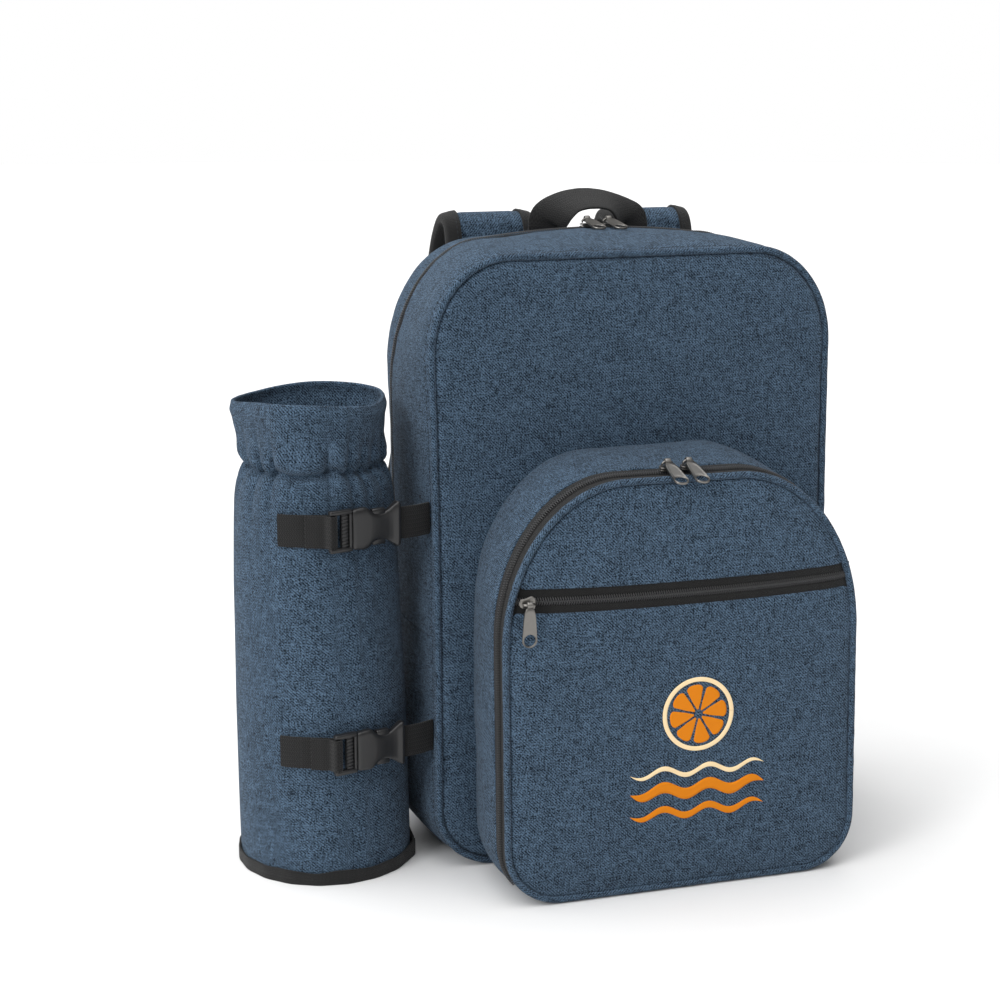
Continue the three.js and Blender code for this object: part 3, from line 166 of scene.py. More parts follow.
MAIN_RINGS = table(
    "depth width height corner_x corner_z crown",
    (0.00, 0.988, 0.993, 1.00, 1.00, 0.00),
    (0.10, 1.000, 1.001, 1.06, 1.10, 0.25),
    (0.35, 1.012, 1.006, 1.18, 1.40, 0.80),
    (0.66, 1.016, 1.008, 1.25, 1.60, 1.00),
    (0.85, 0.978, 1.002, 1.10, 1.30, 0.60),
    (1.00, 0.920, 0.990, 0.95, 1.05, 0.00),
)
POCKET_RINGS = table(
    "depth width height corner",
    (0.0, 0.957, 1.020, 0.97),
    (0.5, 0.990, 1.012, 1.00),
    (0.8, 0.998, 1.003, 1.00),
    (1.0, 0.985, 0.992, 1.00),
)
HOLDER_ROWS = table(
    "height radius tuck flare",
    (0.006, 1.000, 0.00, 0.00),
    (0.100, 1.000, 0.00, 0.00),
    (0.360, 0.985, 0.02, 0.00),
    (0.610, 0.945, 0.05, 0.00),
    (0.748, 0.910, 0.15, 0.00),
    (0.804, 0.895, 0.35, 0.00),
    (0.841, 0.860, 0.75, 0.00),
    (0.860, 0.790, 1.00, 0.10),
    (0.877, 0.770, 0.90, 0.20),
    (0.917, 0.810, 0.35, 0.50),
    (0.960, 0.850, 0.10, 0.85),
    (1.000, 0.850, 0.05, 1.00),
)
HANDLE_ROWS = table(
    "across rise roll",
    (1.00, 0.000, 0), (1.00, 0.120, 0), (0.98, 0.300, 8), (0.88, 0.470, 26),
    (0.70, 0.700, 52), (0.46, 0.900, 76), (0.20, 0.985, 88), (0.00, 1.000, 90),
)
STRAP_ROWS = table(
    "height off out width",
    (0.945, 0.02, 0.00, 1.00), (0.985, 0.05, 0.00, 1.00), (1.018, 0.17, 0.00, 1.00),
    (1.030, 0.38, 0.00, 1.00), (1.021, 0.62, 0.01, 1.00), (0.985, 0.85, 0.03, 1.00),
    (0.920, 0.97, 0.08, 1.00), (0.830, 1.00, 0.18, 1.00), (0.730, 0.98, 0.38, 0.98),
    (0.630, 0.90, 0.64, 0.95), (0.530, 0.78, 0.88, 0.86), (0.450, 0.66, 1.00, 0.72),
)
NET_RINGS = table(
    "height bulge", (0.0, 0.35), (0.2, 0.82), (0.5, 1.0), (0.8, 0.98), (1.0, 0.9),
)
SHELL_ROWS = table(
    "along width thick",
    (0.00, 0.90, 0.80), (0.03, 0.95, 0.94), (0.22, 1.00, 1.00), (0.31, 0.97, 1.02),
    (0.38, 0.80, 1.04), (0.46, 0.66, 1.02), (0.55, 0.60, 0.98), (0.65, 0.63, 0.92),
    (0.76, 0.74, 0.88), (0.86, 0.90, 0.92), (0.93, 1.03, 1.12), (0.97, 1.08, 1.22),
    (1.00, 1.06, 1.05),
)


# Plain arithmetic on arrays

def unit(vectors):
    """Vectors at length one."""
    return vectors / np.maximum(np.linalg.norm(vectors, axis=-1, keepdims=True), 1e-9)


def column(rows, name, at, ease=0.05):
    """A table's column at a place, with the corners between its rows eased: the mean of the straight-line
    value there and a little to each side."""
    key = next(iter(rows))
    places = [np.asarray(at, float) + step for step in (-ease, -ease / 2, 0, ease / 2, ease)]
    return np.mean([np.interp(place, rows[key], rows[name]) for place in places], axis=0)


def even_steps(line, count, closed=False):
    """Points at equal steps of length along a line. A closed line's last step returns to its start."""
    line = np.asarray(line, float)
    if closed:
        line = np.vstack([line, line[:1]])
    reach = np.concatenate([[0], np.cumsum(np.linalg.norm(np.diff(line, axis=0), axis=1))])
    at = np.linspace(0, reach[-1], count + closed)[: count]
    return np.stack([np.interp(at, reach, line[:, k]) for k in range(line.shape[1])], 1)


def curve_through(points, count):
    """A Catmull-Rom curve: each span is the cubic through its two points whose slope at each of them is half
    the step between that point's neighbours."""
    points = np.asarray(points, float)
    p = np.vstack([2 * points[0] - points[1], points, 2 * points[-1] - points[-2]])
    t = np.linspace(0, len(points) - 1, count)
    i = np.minimum(t.astype(int), len(points) - 2)
    f = (t - i)[:, None]
    a, b, c, d = p[i], p[i + 1], p[i + 2], p[i + 3]
    return 0.5 * (2 * b + (c - a) * f + (2 * a - 5 * b + 4 * c - d) * f**2 + (3 * b - a - 3 * c + d) * f**3)


def ripple(points, wavelength, seed, stretch=(1, 1, 1)):
    """An uneven field between about -1 and 1: the mean of ten sine waves in seeded directions, whose lengths
    lie around the given one, drawn out along each axis by stretch."""
    rng = np.random.default_rng(seed)
    direction = unit(rng.normal(size=(10, 3)))
    pace = 2 * np.pi / (wavelength * rng.uniform(0.6, 1.7, 10))
    phase = rng.uniform(0, 2 * np.pi, 10)
    waves = np.sin((points / np.array(stretch)) @ (direction * pace[:, None]).T + phase)
    return waves.sum(-1) / 4


def normals(points, wrap=(False, False)):
    """A grid's unit normals: the cross product of the steps along its rows and along its columns."""
    steps = []
    for axis in (0, 1):
        if wrap[axis]:
            steps.append(np.roll(points, -1, axis) - np.roll(points, 1, axis))
        else:
            steps.append(np.gradient(points, axis=axis))
    return unit(np.cross(steps[0], steps[1]))


def grown(points, height, inner, wrap=(False, False)):
    """A grid whose points are moved out along their normals, away from an inner point, by a height."""
    out = normals(points, wrap)
    side = np.sign(np.sum(out * (points - np.array(inner, float))))
    return points + side * out * np.asarray(height)[..., None]


def distance_to(points, line):
    """How far flat points lie from the nearest point of a line, worked out row by row."""
    return np.array([
        np.sqrt(((row[:, None, :] - line[None, :, :]) ** 2).sum(-1)).min(1) for row in points
    ])


def rolled(distance, radius):
    """How far a folded edge falls away at a distance from it: a quarter circle of the given radius."""
    near = np.clip(1 - distance / radius, 0, 1)
    return radius * (np.sqrt(1 - near**2) - 1)


def super_section(half_width, half_thick, count, power=5.0):
    """A closed section between an ellipse and a rectangle: the cosine and sine raised to 2 over the power."""
    a = np.arange(count) * 2 * np.pi / count
    c, s = np.cos(a), np.sin(a)
    x = np.sign(c) * np.abs(c) ** (2 / power) * np.asarray(half_width)[..., None]
    y = np.sign(s) * np.abs(s) ** (2 / power) * np.asarray(half_thick)[..., None]
    return np.stack([x, y], -1)


def swept(path, across, section):
    """A section carried along a path: its first number is laid off along the across direction, and its
    second at right angles to that and to the path."""
    along = unit(np.gradient(path, axis=0))
    across = np.broadcast_to(np.asarray(across, float), path.shape)
    across = unit(across - np.sum(across * along, -1, keepdims=True) * along)
    up = np.cross(along, across)
    section = np.broadcast_to(section, (len(path),) + np.shape(section)[-2:])
    return path[:, None] + section[..., :1] * across[:, None] + section[..., 1:] * up[:, None]


def capped(points):
    """A closed section's rows with the middle of each end row added, so that the ends close in a pole."""
    first = np.broadcast_to(points[0].mean(0), points[0].shape)
    last = np.broadcast_to(points[-1].mean(0), points[-1].shape)
    return np.concatenate([first[None], points, last[None]])


def outline(half, foot, top, corner_x, corner_z, foot_r, crown=0.0, waist=0.0):
    """A rounded rectangle in x and z from the middle of its foot to the right, over the top and back: the
    lower corners are quarter circles and the upper ones quarter ellipses, the top rises to its middle as a
    parabola, and the sides draw in at half height as a sine."""
    arc = np.linspace(0, np.pi / 2, 48)
    level = np.linspace(1, 0, 48)[1:]
    side = np.linspace(foot + foot_r, top - corner_z, 90)[1:-1]
    x = np.concatenate([
        [0], half - foot_r * (1 - np.sin(arc)), np.full(len(side), half),
        half - corner_x * (1 - np.cos(arc)), (half - corner_x) * level,
    ])
    z = np.concatenate([
        [foot], foot + foot_r * (1 - np.cos(arc)), side,
        top - corner_z * (1 - np.sin(arc)), top + crown * (1 - level**2),
    ])
    x = x * (1 - waist * np.sin(np.pi * np.clip(z / top, 0, 1)))
    return np.vstack([np.column_stack([x, z]), np.column_stack([-x, z])[::-1][1:-1]])


def run_above(loop, level, count):
    """The run of an outline above a height, from its right end over the top, at even steps."""
    run = loop[loop[:, 1] > level]
    ends = [[run[0, 0], level]], [[run[-1, 0], level]]
    return even_steps(np.vstack([ends[0], run, ends[1]]), count)


def run_below(loop, level, count):
    """The run of an outline below a height, from its left end under the foot, at even steps."""
    turned = np.roll(loop, len(loop) // 2, axis=0)
    run = turned[turned[:, 1] < level]
    ends = [[run[0, 0], level]], [[run[-1, 0], level]]
    return even_steps(np.vstack([ends[0], run, ends[1]]), count)


# Meshes

def build_mesh(name, points, quads, uvs, finish, weld):
    """A mesh object in metres from points in millimetres, four-cornered faces and a UV for each corner."""
    mesh = bpy.data.meshes.new(name)
    mesh.vertices.add(len(points))
    mesh.vertices.foreach_set("co", (points * MM).ravel())
    mesh.loops.add(quads.size)
    mesh.loops.foreach_set("vertex_index", quads.ravel())
    mesh.polygons.add(len(quads))
    mesh.polygons.foreach_set("loop_start", np.arange(0, quads.size, 4))
    mesh.update(calc_edges=True)
    mesh.polygons.foreach_set("use_smooth", np.ones(len(quads), bool))
    layer = mesh.uv_layers.new(name="UVMap")
    layer.data.foreach_set("uv", (uvs * MM).ravel())
    if weld:
        work = bmesh.new()
        work.from_mesh(mesh)
        bmesh.ops.remove_doubles(work, verts=work.verts, dist=1e-6)
        work.to_mesh(mesh)
        work.free()
    mesh.validate()
    mesh.materials.append(finish)
    piece = bpy.data.objects.new(name, mesh)
    bpy.context.scene.collection.objects.link(piece)
    return piece


def facing_out(points, quads, uvs, inner):
    """Faces turned so that together they look away from an inner point."""
    corner = points[quads]
    area = np.cross(corner[:, 2] - corner[:, 0], corner[:, 3] - corner[:, 1])
    if np.sum(area * (corner.mean(1) - np.asarray(inner, float))) < 0:
        return quads[:, ::-1], uvs[:, ::-1]
    return quads, uvs


def lengths(points, wrap):
    """A grid's UV in millimetres: the length run along its middle row and along its middle column."""
    rows, columns = points.shape[:2]
    along = points[rows // 2]
    down = points[:, columns // 2]
    runs = []
    for line, closed in ((along, wrap[1]), (down, wrap[0])):
        line = np.vstack([line, line[:1]]) if closed else line
        runs.append(np.concatenate([[0], np.cumsum(np.linalg.norm(np.diff(line, axis=0), axis=1))]))
    return np.stack(np.meshgrid(runs[0], runs[1]), -1)


def surface(name, points, finish, wrap=(False, False), inner=None, uv=None, weld=False):
    """A mesh over a grid of points, (rows, columns, 3), joined end to end where it wraps."""
    rows, columns = points.shape[:2]
    i, j = np.meshgrid(
        np.arange(rows - (not wrap[0])), np.arange(columns - (not wrap[1])), indexing="ij"
    )
    i, j = i.ravel(), j.ravel()
    corners = [(i, j), (i, j + 1), (i + 1, j + 1), (i + 1, j)]
    quads = np.stack([(a % rows) * columns + b % columns for a, b in corners], 1)
    uv = lengths(points, wrap) if uv is None else uv
    uvs = np.stack([uv[a, b] for a, b in corners], 1)
    flat = points.reshape(-1, 3)
    quads, uvs = facing_out(flat, quads, uvs, flat.mean(0) if inner is None else inner)
    return build_mesh(name, flat, quads, uvs, finish, weld)


def rod_points(lines, radii, sides, helper, flat=1.0):
    """Round rods along many lines at once, (rods, steps, 3): a ring round each point at right angles to its
    line. helper is a direction that no line runs along, and flat presses the ring along it."""
    along = unit(np.gradient(lines, axis=1))
    side = unit(np.cross(along, helper))
    up = np.cross(side, along)
    a = (np.arange(sides) + 0.5) * 2 * np.pi / sides
    ring = np.cos(a)[:, None] * side[:, :, None] + flat * np.sin(a)[:, None] * up[:, :, None]
    return lines[:, :, None] + np.broadcast_to(radii, lines.shape[:2])[..., None, None] * ring


def rods(name, points, finish):
    """One mesh of many rods, (rods, steps, sides, 3), whose end rings close in a pole."""
    count, steps, sides = points.shape[:3]
    m, i, j = (g.ravel() for g in np.meshgrid(
        np.arange(count), np.arange(steps - 1), np.arange(sides), indexing="ij"))
    corners = [(i, j), (i, j + 1), (i + 1, j + 1), (i + 1, j)]
    quads = np.stack([(m * steps + a) * sides + b % sides for a, b in corners], 1)
    uvs = np.stack([np.stack([b * 0.3, a * 0.5 + m * 7.0], 1) for a, b in corners], 1)
    flat = points.reshape(-1, 3)
    quads, uvs = facing_out(flat, quads, uvs, flat.mean(0))
    return build_mesh(name, flat, quads, uvs, finish, weld=True)


def walled(piece, thickness):
    """A wall inwards from a piece's surface, with its edges closed."""
    wall = piece.modifiers.new("Wall", "SOLIDIFY")
    wall.thickness = thickness * MM
    wall.offset = -1
    wall.use_rim = True
    return piece


def worn(piece, body="bag", nodes=()):
    """A piece set on its body, standing for its solids."""
    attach(piece, body)
    if nodes:
        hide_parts(*nodes)
    return piece


# Shapes of the bag

def front_y(z):
    """The front panel's plane, which leans back evenly with height."""
    return -MAIN_D / 2 + MAIN_LEAN * z / MAIN_H


def main_y(depth, z):
    """The depth share between the leaning front and the upright back."""
    return front_y(z) + depth * (BACK_Y - front_y(z))


def main_ring(depth, inset=0.0):
    """The main bag's outline at a depth share, drawn in by inset."""
    share = {name: float(column(MAIN_RINGS, name, depth)) for name in MAIN_RINGS if name != "depth"}
    return outline(
        share["width"] * MAIN_W / 2 - inset, inset, share["height"] * MAIN_H - inset,
        share["corner_x"] * MAIN_CORNER_X - inset, share["corner_z"] * MAIN_CORNER_Z - inset,
        MAIN_FOOT_R - inset, share["crown"] * MAIN_CROWN, MAIN_WAIST,
    )


def main_cord():
    """The middle line of the front piping, as an outline."""
    r = PIPING_D / 2
    return outline(
        MAIN_W / 2 - r, r + GAP, MAIN_H - r, MAIN_CORNER_X, MAIN_CORNER_Z, MAIN_FOOT_R, 0, MAIN_WAIST)


def pocket_back_y(z):
    """Where the pocket's gusset meets the main panel."""
    return front_y(z) - PIPING_D / 2 - GAP


def pocket_face_y(x, z):
    """The plane of the pocket's front seam, which stands further forward to the right."""
    return front_y(z) - POCKET_D - POCKET_SKEW * x / (POCKET_W / 2)


def pocket_y(depth, x, z):
    """The depth share between the main panel and the pocket's front."""
    return pocket_back_y(z) + depth * (pocket_face_y(x, z) - pocket_back_y(z))


def pocket_ring(depth, inset=0.0):
    """The pocket's outline at a depth share, drawn in by inset."""
    share = {name: float(column(POCKET_RINGS, name, depth)) for name in POCKET_RINGS if name != "depth"}
    return outline(
        share["width"] * POCKET_W / 2 - inset, POCKET_FOOT + inset, share["height"] * POCKET_TOP - inset,
        share["corner"] * POCKET_CORNER_X - inset, share["corner"] * POCKET_CORNER_Z - inset,
        POCKET_FOOT_R - inset,
    )


def pocket_cord(inset=0.0):
    """The middle line of the pocket's piping, drawn in by inset."""
    r = PIPING_D / 2 + inset
    return outline(
        POCKET_W / 2 - r, POCKET_FOOT + r, POCKET_TOP - r, POCKET_CORNER_X - inset,
        POCKET_CORNER_Z - inset, POCKET_FOOT_R - inset,
    )


PANEL_EDGE = pocket_cord(PIPING_D / 2 + 0.2)
EDGE_LINE = even_steps(PANEL_EDGE, 420, closed=True)


def cross_zip_z(x):
    """The line of the zip across the pocket, which sags as a parabola."""
    return CROSS_Z - CROSS_SAG * (1 - (x / (POCKET_W / 2)) ** 2)


def pocket_swell(distance):
    """How far the pocket's front stands out at a distance from its edge: a quarter of an ellipse."""
    near = np.clip(1 - distance / (0.47 * POCKET_W), 0, 1)
    return POCKET_BULGE * np.sqrt(1 - near**2)


def pocket_front(x, z, distance):
    """The pocket's front at a distance from its edge, with a few broad soft waves."""
    place = np.stack([x, z, 0 * x], -1)
    calm = np.clip(distance / 12, 0, 1)
    waves = 0.7 * ripple(place, 95, 4) * calm + 0.22 * ripple(place, 17, 5) * np.exp(-distance / 7)
    return pocket_face_y(x, z) - pocket_swell(distance) - waves


def strip(ring, place, depths, run):
    """Rows of a gusset: one run of the outline at each depth share, each set back to its place."""
    rows = []
    for depth in depths:
        line = run(ring(depth))
        rows.append(np.column_stack([line[:, 0], place(depth, line[:, 0], line[:, 1]), line[:, 1]]))
    return np.array(rows)


def seam_relief(points, run, width, front_stitch, seed):
    """The height of sewn cloth over its plain shape, at the length run from its front edge: it falls into
    the seam in front, has a line of stitches sunk beside it, swells between its edges, rolls over at the
    rear edge, and is puckered near both edges."""
    rear = width - run
    belly = 1.1 * np.sin(np.pi * np.clip(run / width, 0, 1))
    seam = -1.3 * np.exp(-run / 1.3)
    stitched = -0.6 * np.exp(-((run - front_stitch) / 0.8) ** 2) if front_stitch else 0
    pucker = 0.32 * ripple(points, 15, seed) * (np.exp(-run / 9) + np.exp(-rear / 9))
    return belly + seam + stitched + pucker + 0.7 * ripple(points, 80, seed + 1) + rolled(rear, 1.2)


def edge_spaced(start, end, rows):
    """Depth shares from start to end that lie closer together near both ends."""
    return start + (end - start) * (1 - np.cos(np.linspace(0, np.pi, rows))) / 2


def disc(loop, rings, centre):
    """A grid from a centre out to a closed loop, with its rings closer together near the loop."""
    share = np.sin(np.linspace(0, np.pi / 2, rings))[:, None, None]
    return centre + share * (loop - centre)


def panel(name, loop, rings, height, finish, inner):
    """A flat-cut panel inside a closed loop in x and z, whose y is worked out by the height function. Its UV
    is its own x and z, so that the weave runs straight across it."""
    flat = disc(loop, rings, loop.mean(0))
    points = np.stack([flat[..., 0], height(flat), flat[..., 1]], -1)
    uv = np.concatenate([flat, flat[:, :1]], 1)
    return surface(name, points, finish, wrap=(False, True), inner=inner, uv=uv, weld=True)


def cord_tube(name, loop, y, finish, seed):
    """Piping: a cord carried along a closed outline, its cloth cover a little uneven."""
    line = even_steps(loop, 560, closed=True)
    path = np.column_stack([line[:, 0], y(line[:, 0], line[:, 1]), line[:, 1]])
    along = unit(np.roll(path, -1, 0) - np.roll(path, 1, 0))
    across = unit(np.column_stack([along[:, 2], 0 * along[:, 0], -along[:, 0]]))
    out = np.cross(along, across)
    a = np.arange(12) * 2 * np.pi / 12
    ring = np.cos(a)[:, None] * across[:, None] + np.sin(a)[:, None] * out[:, None]
    plain = path[:, None] + PIPING_D / 2 * ring
    swell = 1 + 0.035 * ripple(plain, 11, seed) + 0.02 * ripple(plain, 40, seed + 1)
    return surface(name, path[:, None] + PIPING_D / 2 * swell[..., None] * ring, finish, wrap=(True, True))


def stitches(name, path, out, finish, length=2.7, pitch=3.6, radius=0.24):
    """A row of stitches: short rods bent down into the cloth at both ends, one for each pitch of the path."""
    step = np.linalg.norm(np.diff(path, axis=0), axis=1)
    reach = np.concatenate([[0], np.cumsum(step)])
    start = np.arange(pitch / 2, reach[-1] - length, pitch)
    share = np.linspace(0, 1, 6)
    at = start[:, None] + share * length
    lines = np.stack([np.interp(at, reach, path[:, k]) for k in range(3)], -1)
    up = unit(np.stack([np.interp(at, reach, out[:, k]) for k in range(3)], -1))
    lines = lines + up * (0.34 * np.sin(np.pi * share) - 0.12)[None, :, None]
    radii = radius * np.array([0, 0.8, 1, 1, 0.8, 0])
    return rods(name, rod_points(lines, radii, 5, up), finish)


def zip_coil(name, path, out, finish, width, pitch=1.5):
    """A closed zip's coil: from each side in turn a loop of wire rises out of the tape, crosses the middle
    and hooks over the loops of the other side."""
    step = np.linalg.norm(np.diff(path, axis=0), axis=1)
    reach = np.concatenate([[0], np.cumsum(step)])
    start = np.arange(0, reach[-1] - pitch, pitch / 2)
    side = np.where(np.arange(len(start)) % 2, 1.0, -1.0)
    share = np.linspace(0, 1, 7)
    at = start[:, None] + pitch * 0.42 * share
    middle = np.stack([np.interp(at, reach, path[:, k]) for k in range(3)], -1)
    up = unit(np.stack([np.interp(at, reach, out[:, k]) for k in range(3)], -1))
    along = unit(np.gradient(middle, axis=1))
    across = np.cross(up, along)
    reach_in = width / 2 * (1 - 1.28 * share)
    rise = 1.6 * np.sin(np.pi * (0.02 + 0.8 * share)) - 0.2
    lines = middle + across * (side[:, None] * reach_in)[..., None] + up * rise[None, :, None]
    radii = 0.4 * np.array([0, 0.9, 1, 1, 1, 0.9, 0])
    return rods(name, rod_points(lines, radii, 4, along), finish)


def webbing_band(name, path, across, width, thickness, finish, count=28):
    """Webbing along a path: a flat section with round edges. Its UV is the place across it and the length
    run along it, so that its weave follows it on both faces."""
    section = super_section(width / 2, thickness / 2, count, 6.0)
    points = capped(swept(path, across, section))
    run = np.concatenate([[0], np.cumsum(np.linalg.norm(np.diff(points.mean(1), axis=0), axis=1))])
    place = np.append(section[:, 0], section[0, 0])
    uv = np.stack(np.meshgrid(place, run), -1)
    return surface(name, points, finish, wrap=(False, True), uv=uv, weld=True)


def placed(points, origin, axes):
    """Points of a small part's own frame set at an origin, with its three axes as rows."""
    return np.asarray(origin, float) + points @ np.asarray(axes, float)


def turned_x(angle):
    """The axes of a part turned about X by an angle in degrees."""
    c, s = math.cos(math.radians(angle)), math.sin(math.radians(angle))
    return np.array([[1, 0, 0], [0, c, s], [0, -s, c]])


def bars(rows, sides=20, power=4.0):
    """Moulded bars as rods, one for each row of start, end, half width and half thickness: the section lies
    between an ellipse and a rectangle, and each end shrinks as a quarter circle."""
    share = np.array([0, 0.0, 0.01, 0.035, 0.08, 0.5, 0.92, 0.965, 0.99, 1, 1])
    size = np.array([0, 0.55, 0.8, 0.95, 1, 1, 1, 0.95, 0.8, 0.55, 0])
    built = []
    for start, end, half_width, half_thick in rows:
        start, end = np.array(start, float), np.array(end, float)
        line = start + share[:, None] * (end - start)
        along = unit(end - start)
        across = unit(np.cross([0, 0, 1], along))
        up = np.cross(along, across)
        section = super_section(half_width * size, half_thick * size, sides, power)
        built.append(line[:, None] + section[..., :1] * across + section[..., 1:] * up)
    return np.array(built)


def ring_plate(outer, inner, thickness, rounding=0.35):
    """A plate between an outer loop and a hole: the section goes over the top, round the outer edge, back
    along the underside and round the hole's edge, each edge being a half ellipse."""
    half = thickness / 2
    arc = np.linspace(np.pi / 2, -np.pi / 2, 9)
    steps = np.linspace(0, 1, 6)[1:-1]
    points = []
    for t in steps:
        points.append(np.column_stack([inner + t * (outer - inner), np.full(len(outer), half)]))
    outward = unit(outer - inner)
    for a in arc:
        edge = outer - outward * rounding * (1 - np.cos(a))
        points.append(np.column_stack([edge, np.full(len(outer), half * np.sin(a))]))
    for t in steps[::-1]:
        points.append(np.column_stack([inner + t * (outer - inner), np.full(len(outer), -half)]))
    for a in arc[::-1]:
        edge = inner + outward * rounding * (1 - np.cos(a))
        points.append(np.column_stack([edge, np.full(len(outer), half * np.sin(a))]))
    return np.array(points)


# Finishes

class Graph:
    """A node tree under construction: each call adds one node and gives back what the next one reads."""

    def __init__(self, tree):
        self.tree = tree

    def node(self, kind, inputs=(), **settings):
        """A node with its settings, and with its inputs set or linked by name or by number."""
        made = self.tree.nodes.new(kind)
        for key, value in settings.items():
            setattr(made, key, value)
        pairs = inputs.items() if isinstance(inputs, dict) else enumerate(inputs)
        for key, value in pairs:
            if isinstance(value, bpy.types.NodeSocket):
                self.tree.links.new(value, made.inputs[key])
            else:
                made.inputs[key].default_value = value
        return made

    def math(self, operation, *values):
        """One step of arithmetic."""
        return self.node("ShaderNodeMath", values, operation=operation).outputs[0]

    def mix(self, share, first, second):
        """A blend of two colours."""
        made = self.node("ShaderNodeMix", data_type="RGBA")
        for key, value in zip((0, 6, 7), (share, first, second)):
            if isinstance(value, bpy.types.NodeSocket):
                self.tree.links.new(value, made.inputs[key])
            else:
                made.inputs[key].default_value = value
        return made.outputs[2]

    def noise(self, vector, scale, detail=1.0):
        """Soft noise between 0 and 1."""
        inputs = {"Vector": vector, "Scale": scale, "Detail": detail}
        return self.node("ShaderNodeTexNoise", inputs).outputs[0]

    def stretched(self, vector, scale):
        """A vector with each of its numbers scaled by its own share."""
        return self.node("ShaderNodeVectorMath", (vector, scale), operation="MULTIPLY").outputs[0]


def shader_group(name, inputs, outputs, fill):
    """A shader node group with named inputs and outputs, built once and placed in each material."""
    if name in bpy.data.node_groups:
        return bpy.data.node_groups[name]
    group = bpy.data.node_groups.new(name, "ShaderNodeTree")
    for label, kind, value in inputs:
        socket = group.interface.new_socket(name=label, in_out="INPUT", socket_type=kind)
        if value is not None:
            socket.default_value = value
    for label, kind in outputs:
        group.interface.new_socket(name=label, in_out="OUTPUT", socket_type=kind)
    graph = Graph(group)
    source = group.nodes.new("NodeGroupInput")
    sink = group.nodes.new("NodeGroupOutput")
    for label, value in fill(graph, source.outputs).items():
        group.links.new(value, sink.inputs[label])
    return group


def melange_group():
    """Two-tone twill: at each crossing the warp lies over the weft or under it, stepping by one thread from
    row to row, and each thread is paler or darker along its length. Specks and broad clouds vary the mix."""
    def fill(g, put):
        cloth = g.stretched(put["Vector"], (1000, 1000, 1000))
        parts = g.node("ShaderNodeSeparateXYZ", (cloth,)).outputs
        warp_at = g.math("DIVIDE", parts[0], put["Thread"])
        weft_at = g.math("DIVIDE", parts[1], put["Thread"])
        warp = g.math("FLOOR", warp_at)
        weft = g.math("FLOOR", weft_at)
        step = g.math("FLOORED_MODULO", g.math("ADD", warp, weft), 4.0)
        over = g.math("LESS_THAN", step, 2.0)
        run_up = g.math("DIVIDE", parts[1], put["Slub"])
        run_over = g.math("DIVIDE", parts[0], put["Slub"])
        down = g.node("ShaderNodeCombineXYZ", (g.math("MULTIPLY", warp, 5.13), run_up, 0.0)).outputs[0]
        across = g.node("ShaderNodeCombineXYZ", (run_over, g.math("MULTIPLY", weft, 5.13), 40.0)).outputs[0]
        warp_shade = g.math("ADD", g.noise(down, 1.0, 1.0), 0.07)
        weft_shade = g.math("SUBTRACT", g.noise(across, 1.0, 1.0), 0.07)
        shade = g.math("ADD", g.math("MULTIPLY", over, warp_shade),
                       g.math("MULTIPLY", g.math("SUBTRACT", 1.0, over), weft_shade))
        speck = g.noise(cloth, 1.3, 0.0)
        cloud = g.noise(cloth, 0.06, 2.0)
        share = g.math("MULTIPLY_ADD", g.math("SUBTRACT", shade, 0.5), put["Contrast"], put["Pale share"])
        share = g.math("MULTIPLY_ADD", g.math("SUBTRACT", speck, 0.5), 0.9, share)
        share = g.math("MULTIPLY_ADD", g.math("SUBTRACT", cloud, 0.5), 0.25, share)
        clamped = g.node("ShaderNodeClamp", (share,)).outputs[0]
        warp_round = g.math("SINE", g.math("MULTIPLY", g.math("FRACT", warp_at), 3.1416))
        weft_round = g.math("SINE", g.math("MULTIPLY", g.math("FRACT", weft_at), 3.1416))
        height = g.math("MAXIMUM", g.math("MULTIPLY", over, warp_round),
                        g.math("MULTIPLY", g.math("SUBTRACT", 1.0, over), weft_round))
        return {"Color": g.mix(clamped, put["Dark thread"], put["Pale thread"]), "Height": height}
    return shader_group(
        "Melange weave",
        [("Vector", "NodeSocketVector", None), ("Dark thread", "NodeSocketColor", (0.01, 0.01, 0.02, 1)),
         ("Pale thread", "NodeSocketColor", (0.1, 0.2, 0.3, 1)), ("Pale share", "NodeSocketFloat", 0.45),
         ("Contrast", "NodeSocketFloat", 2.6), ("Slub", "NodeSocketFloat", 5.0),
         ("Thread", "NodeSocketFloat", 0.5)],
        [("Color", "NodeSocketColor"), ("Height", "NodeSocketFloat")], fill)


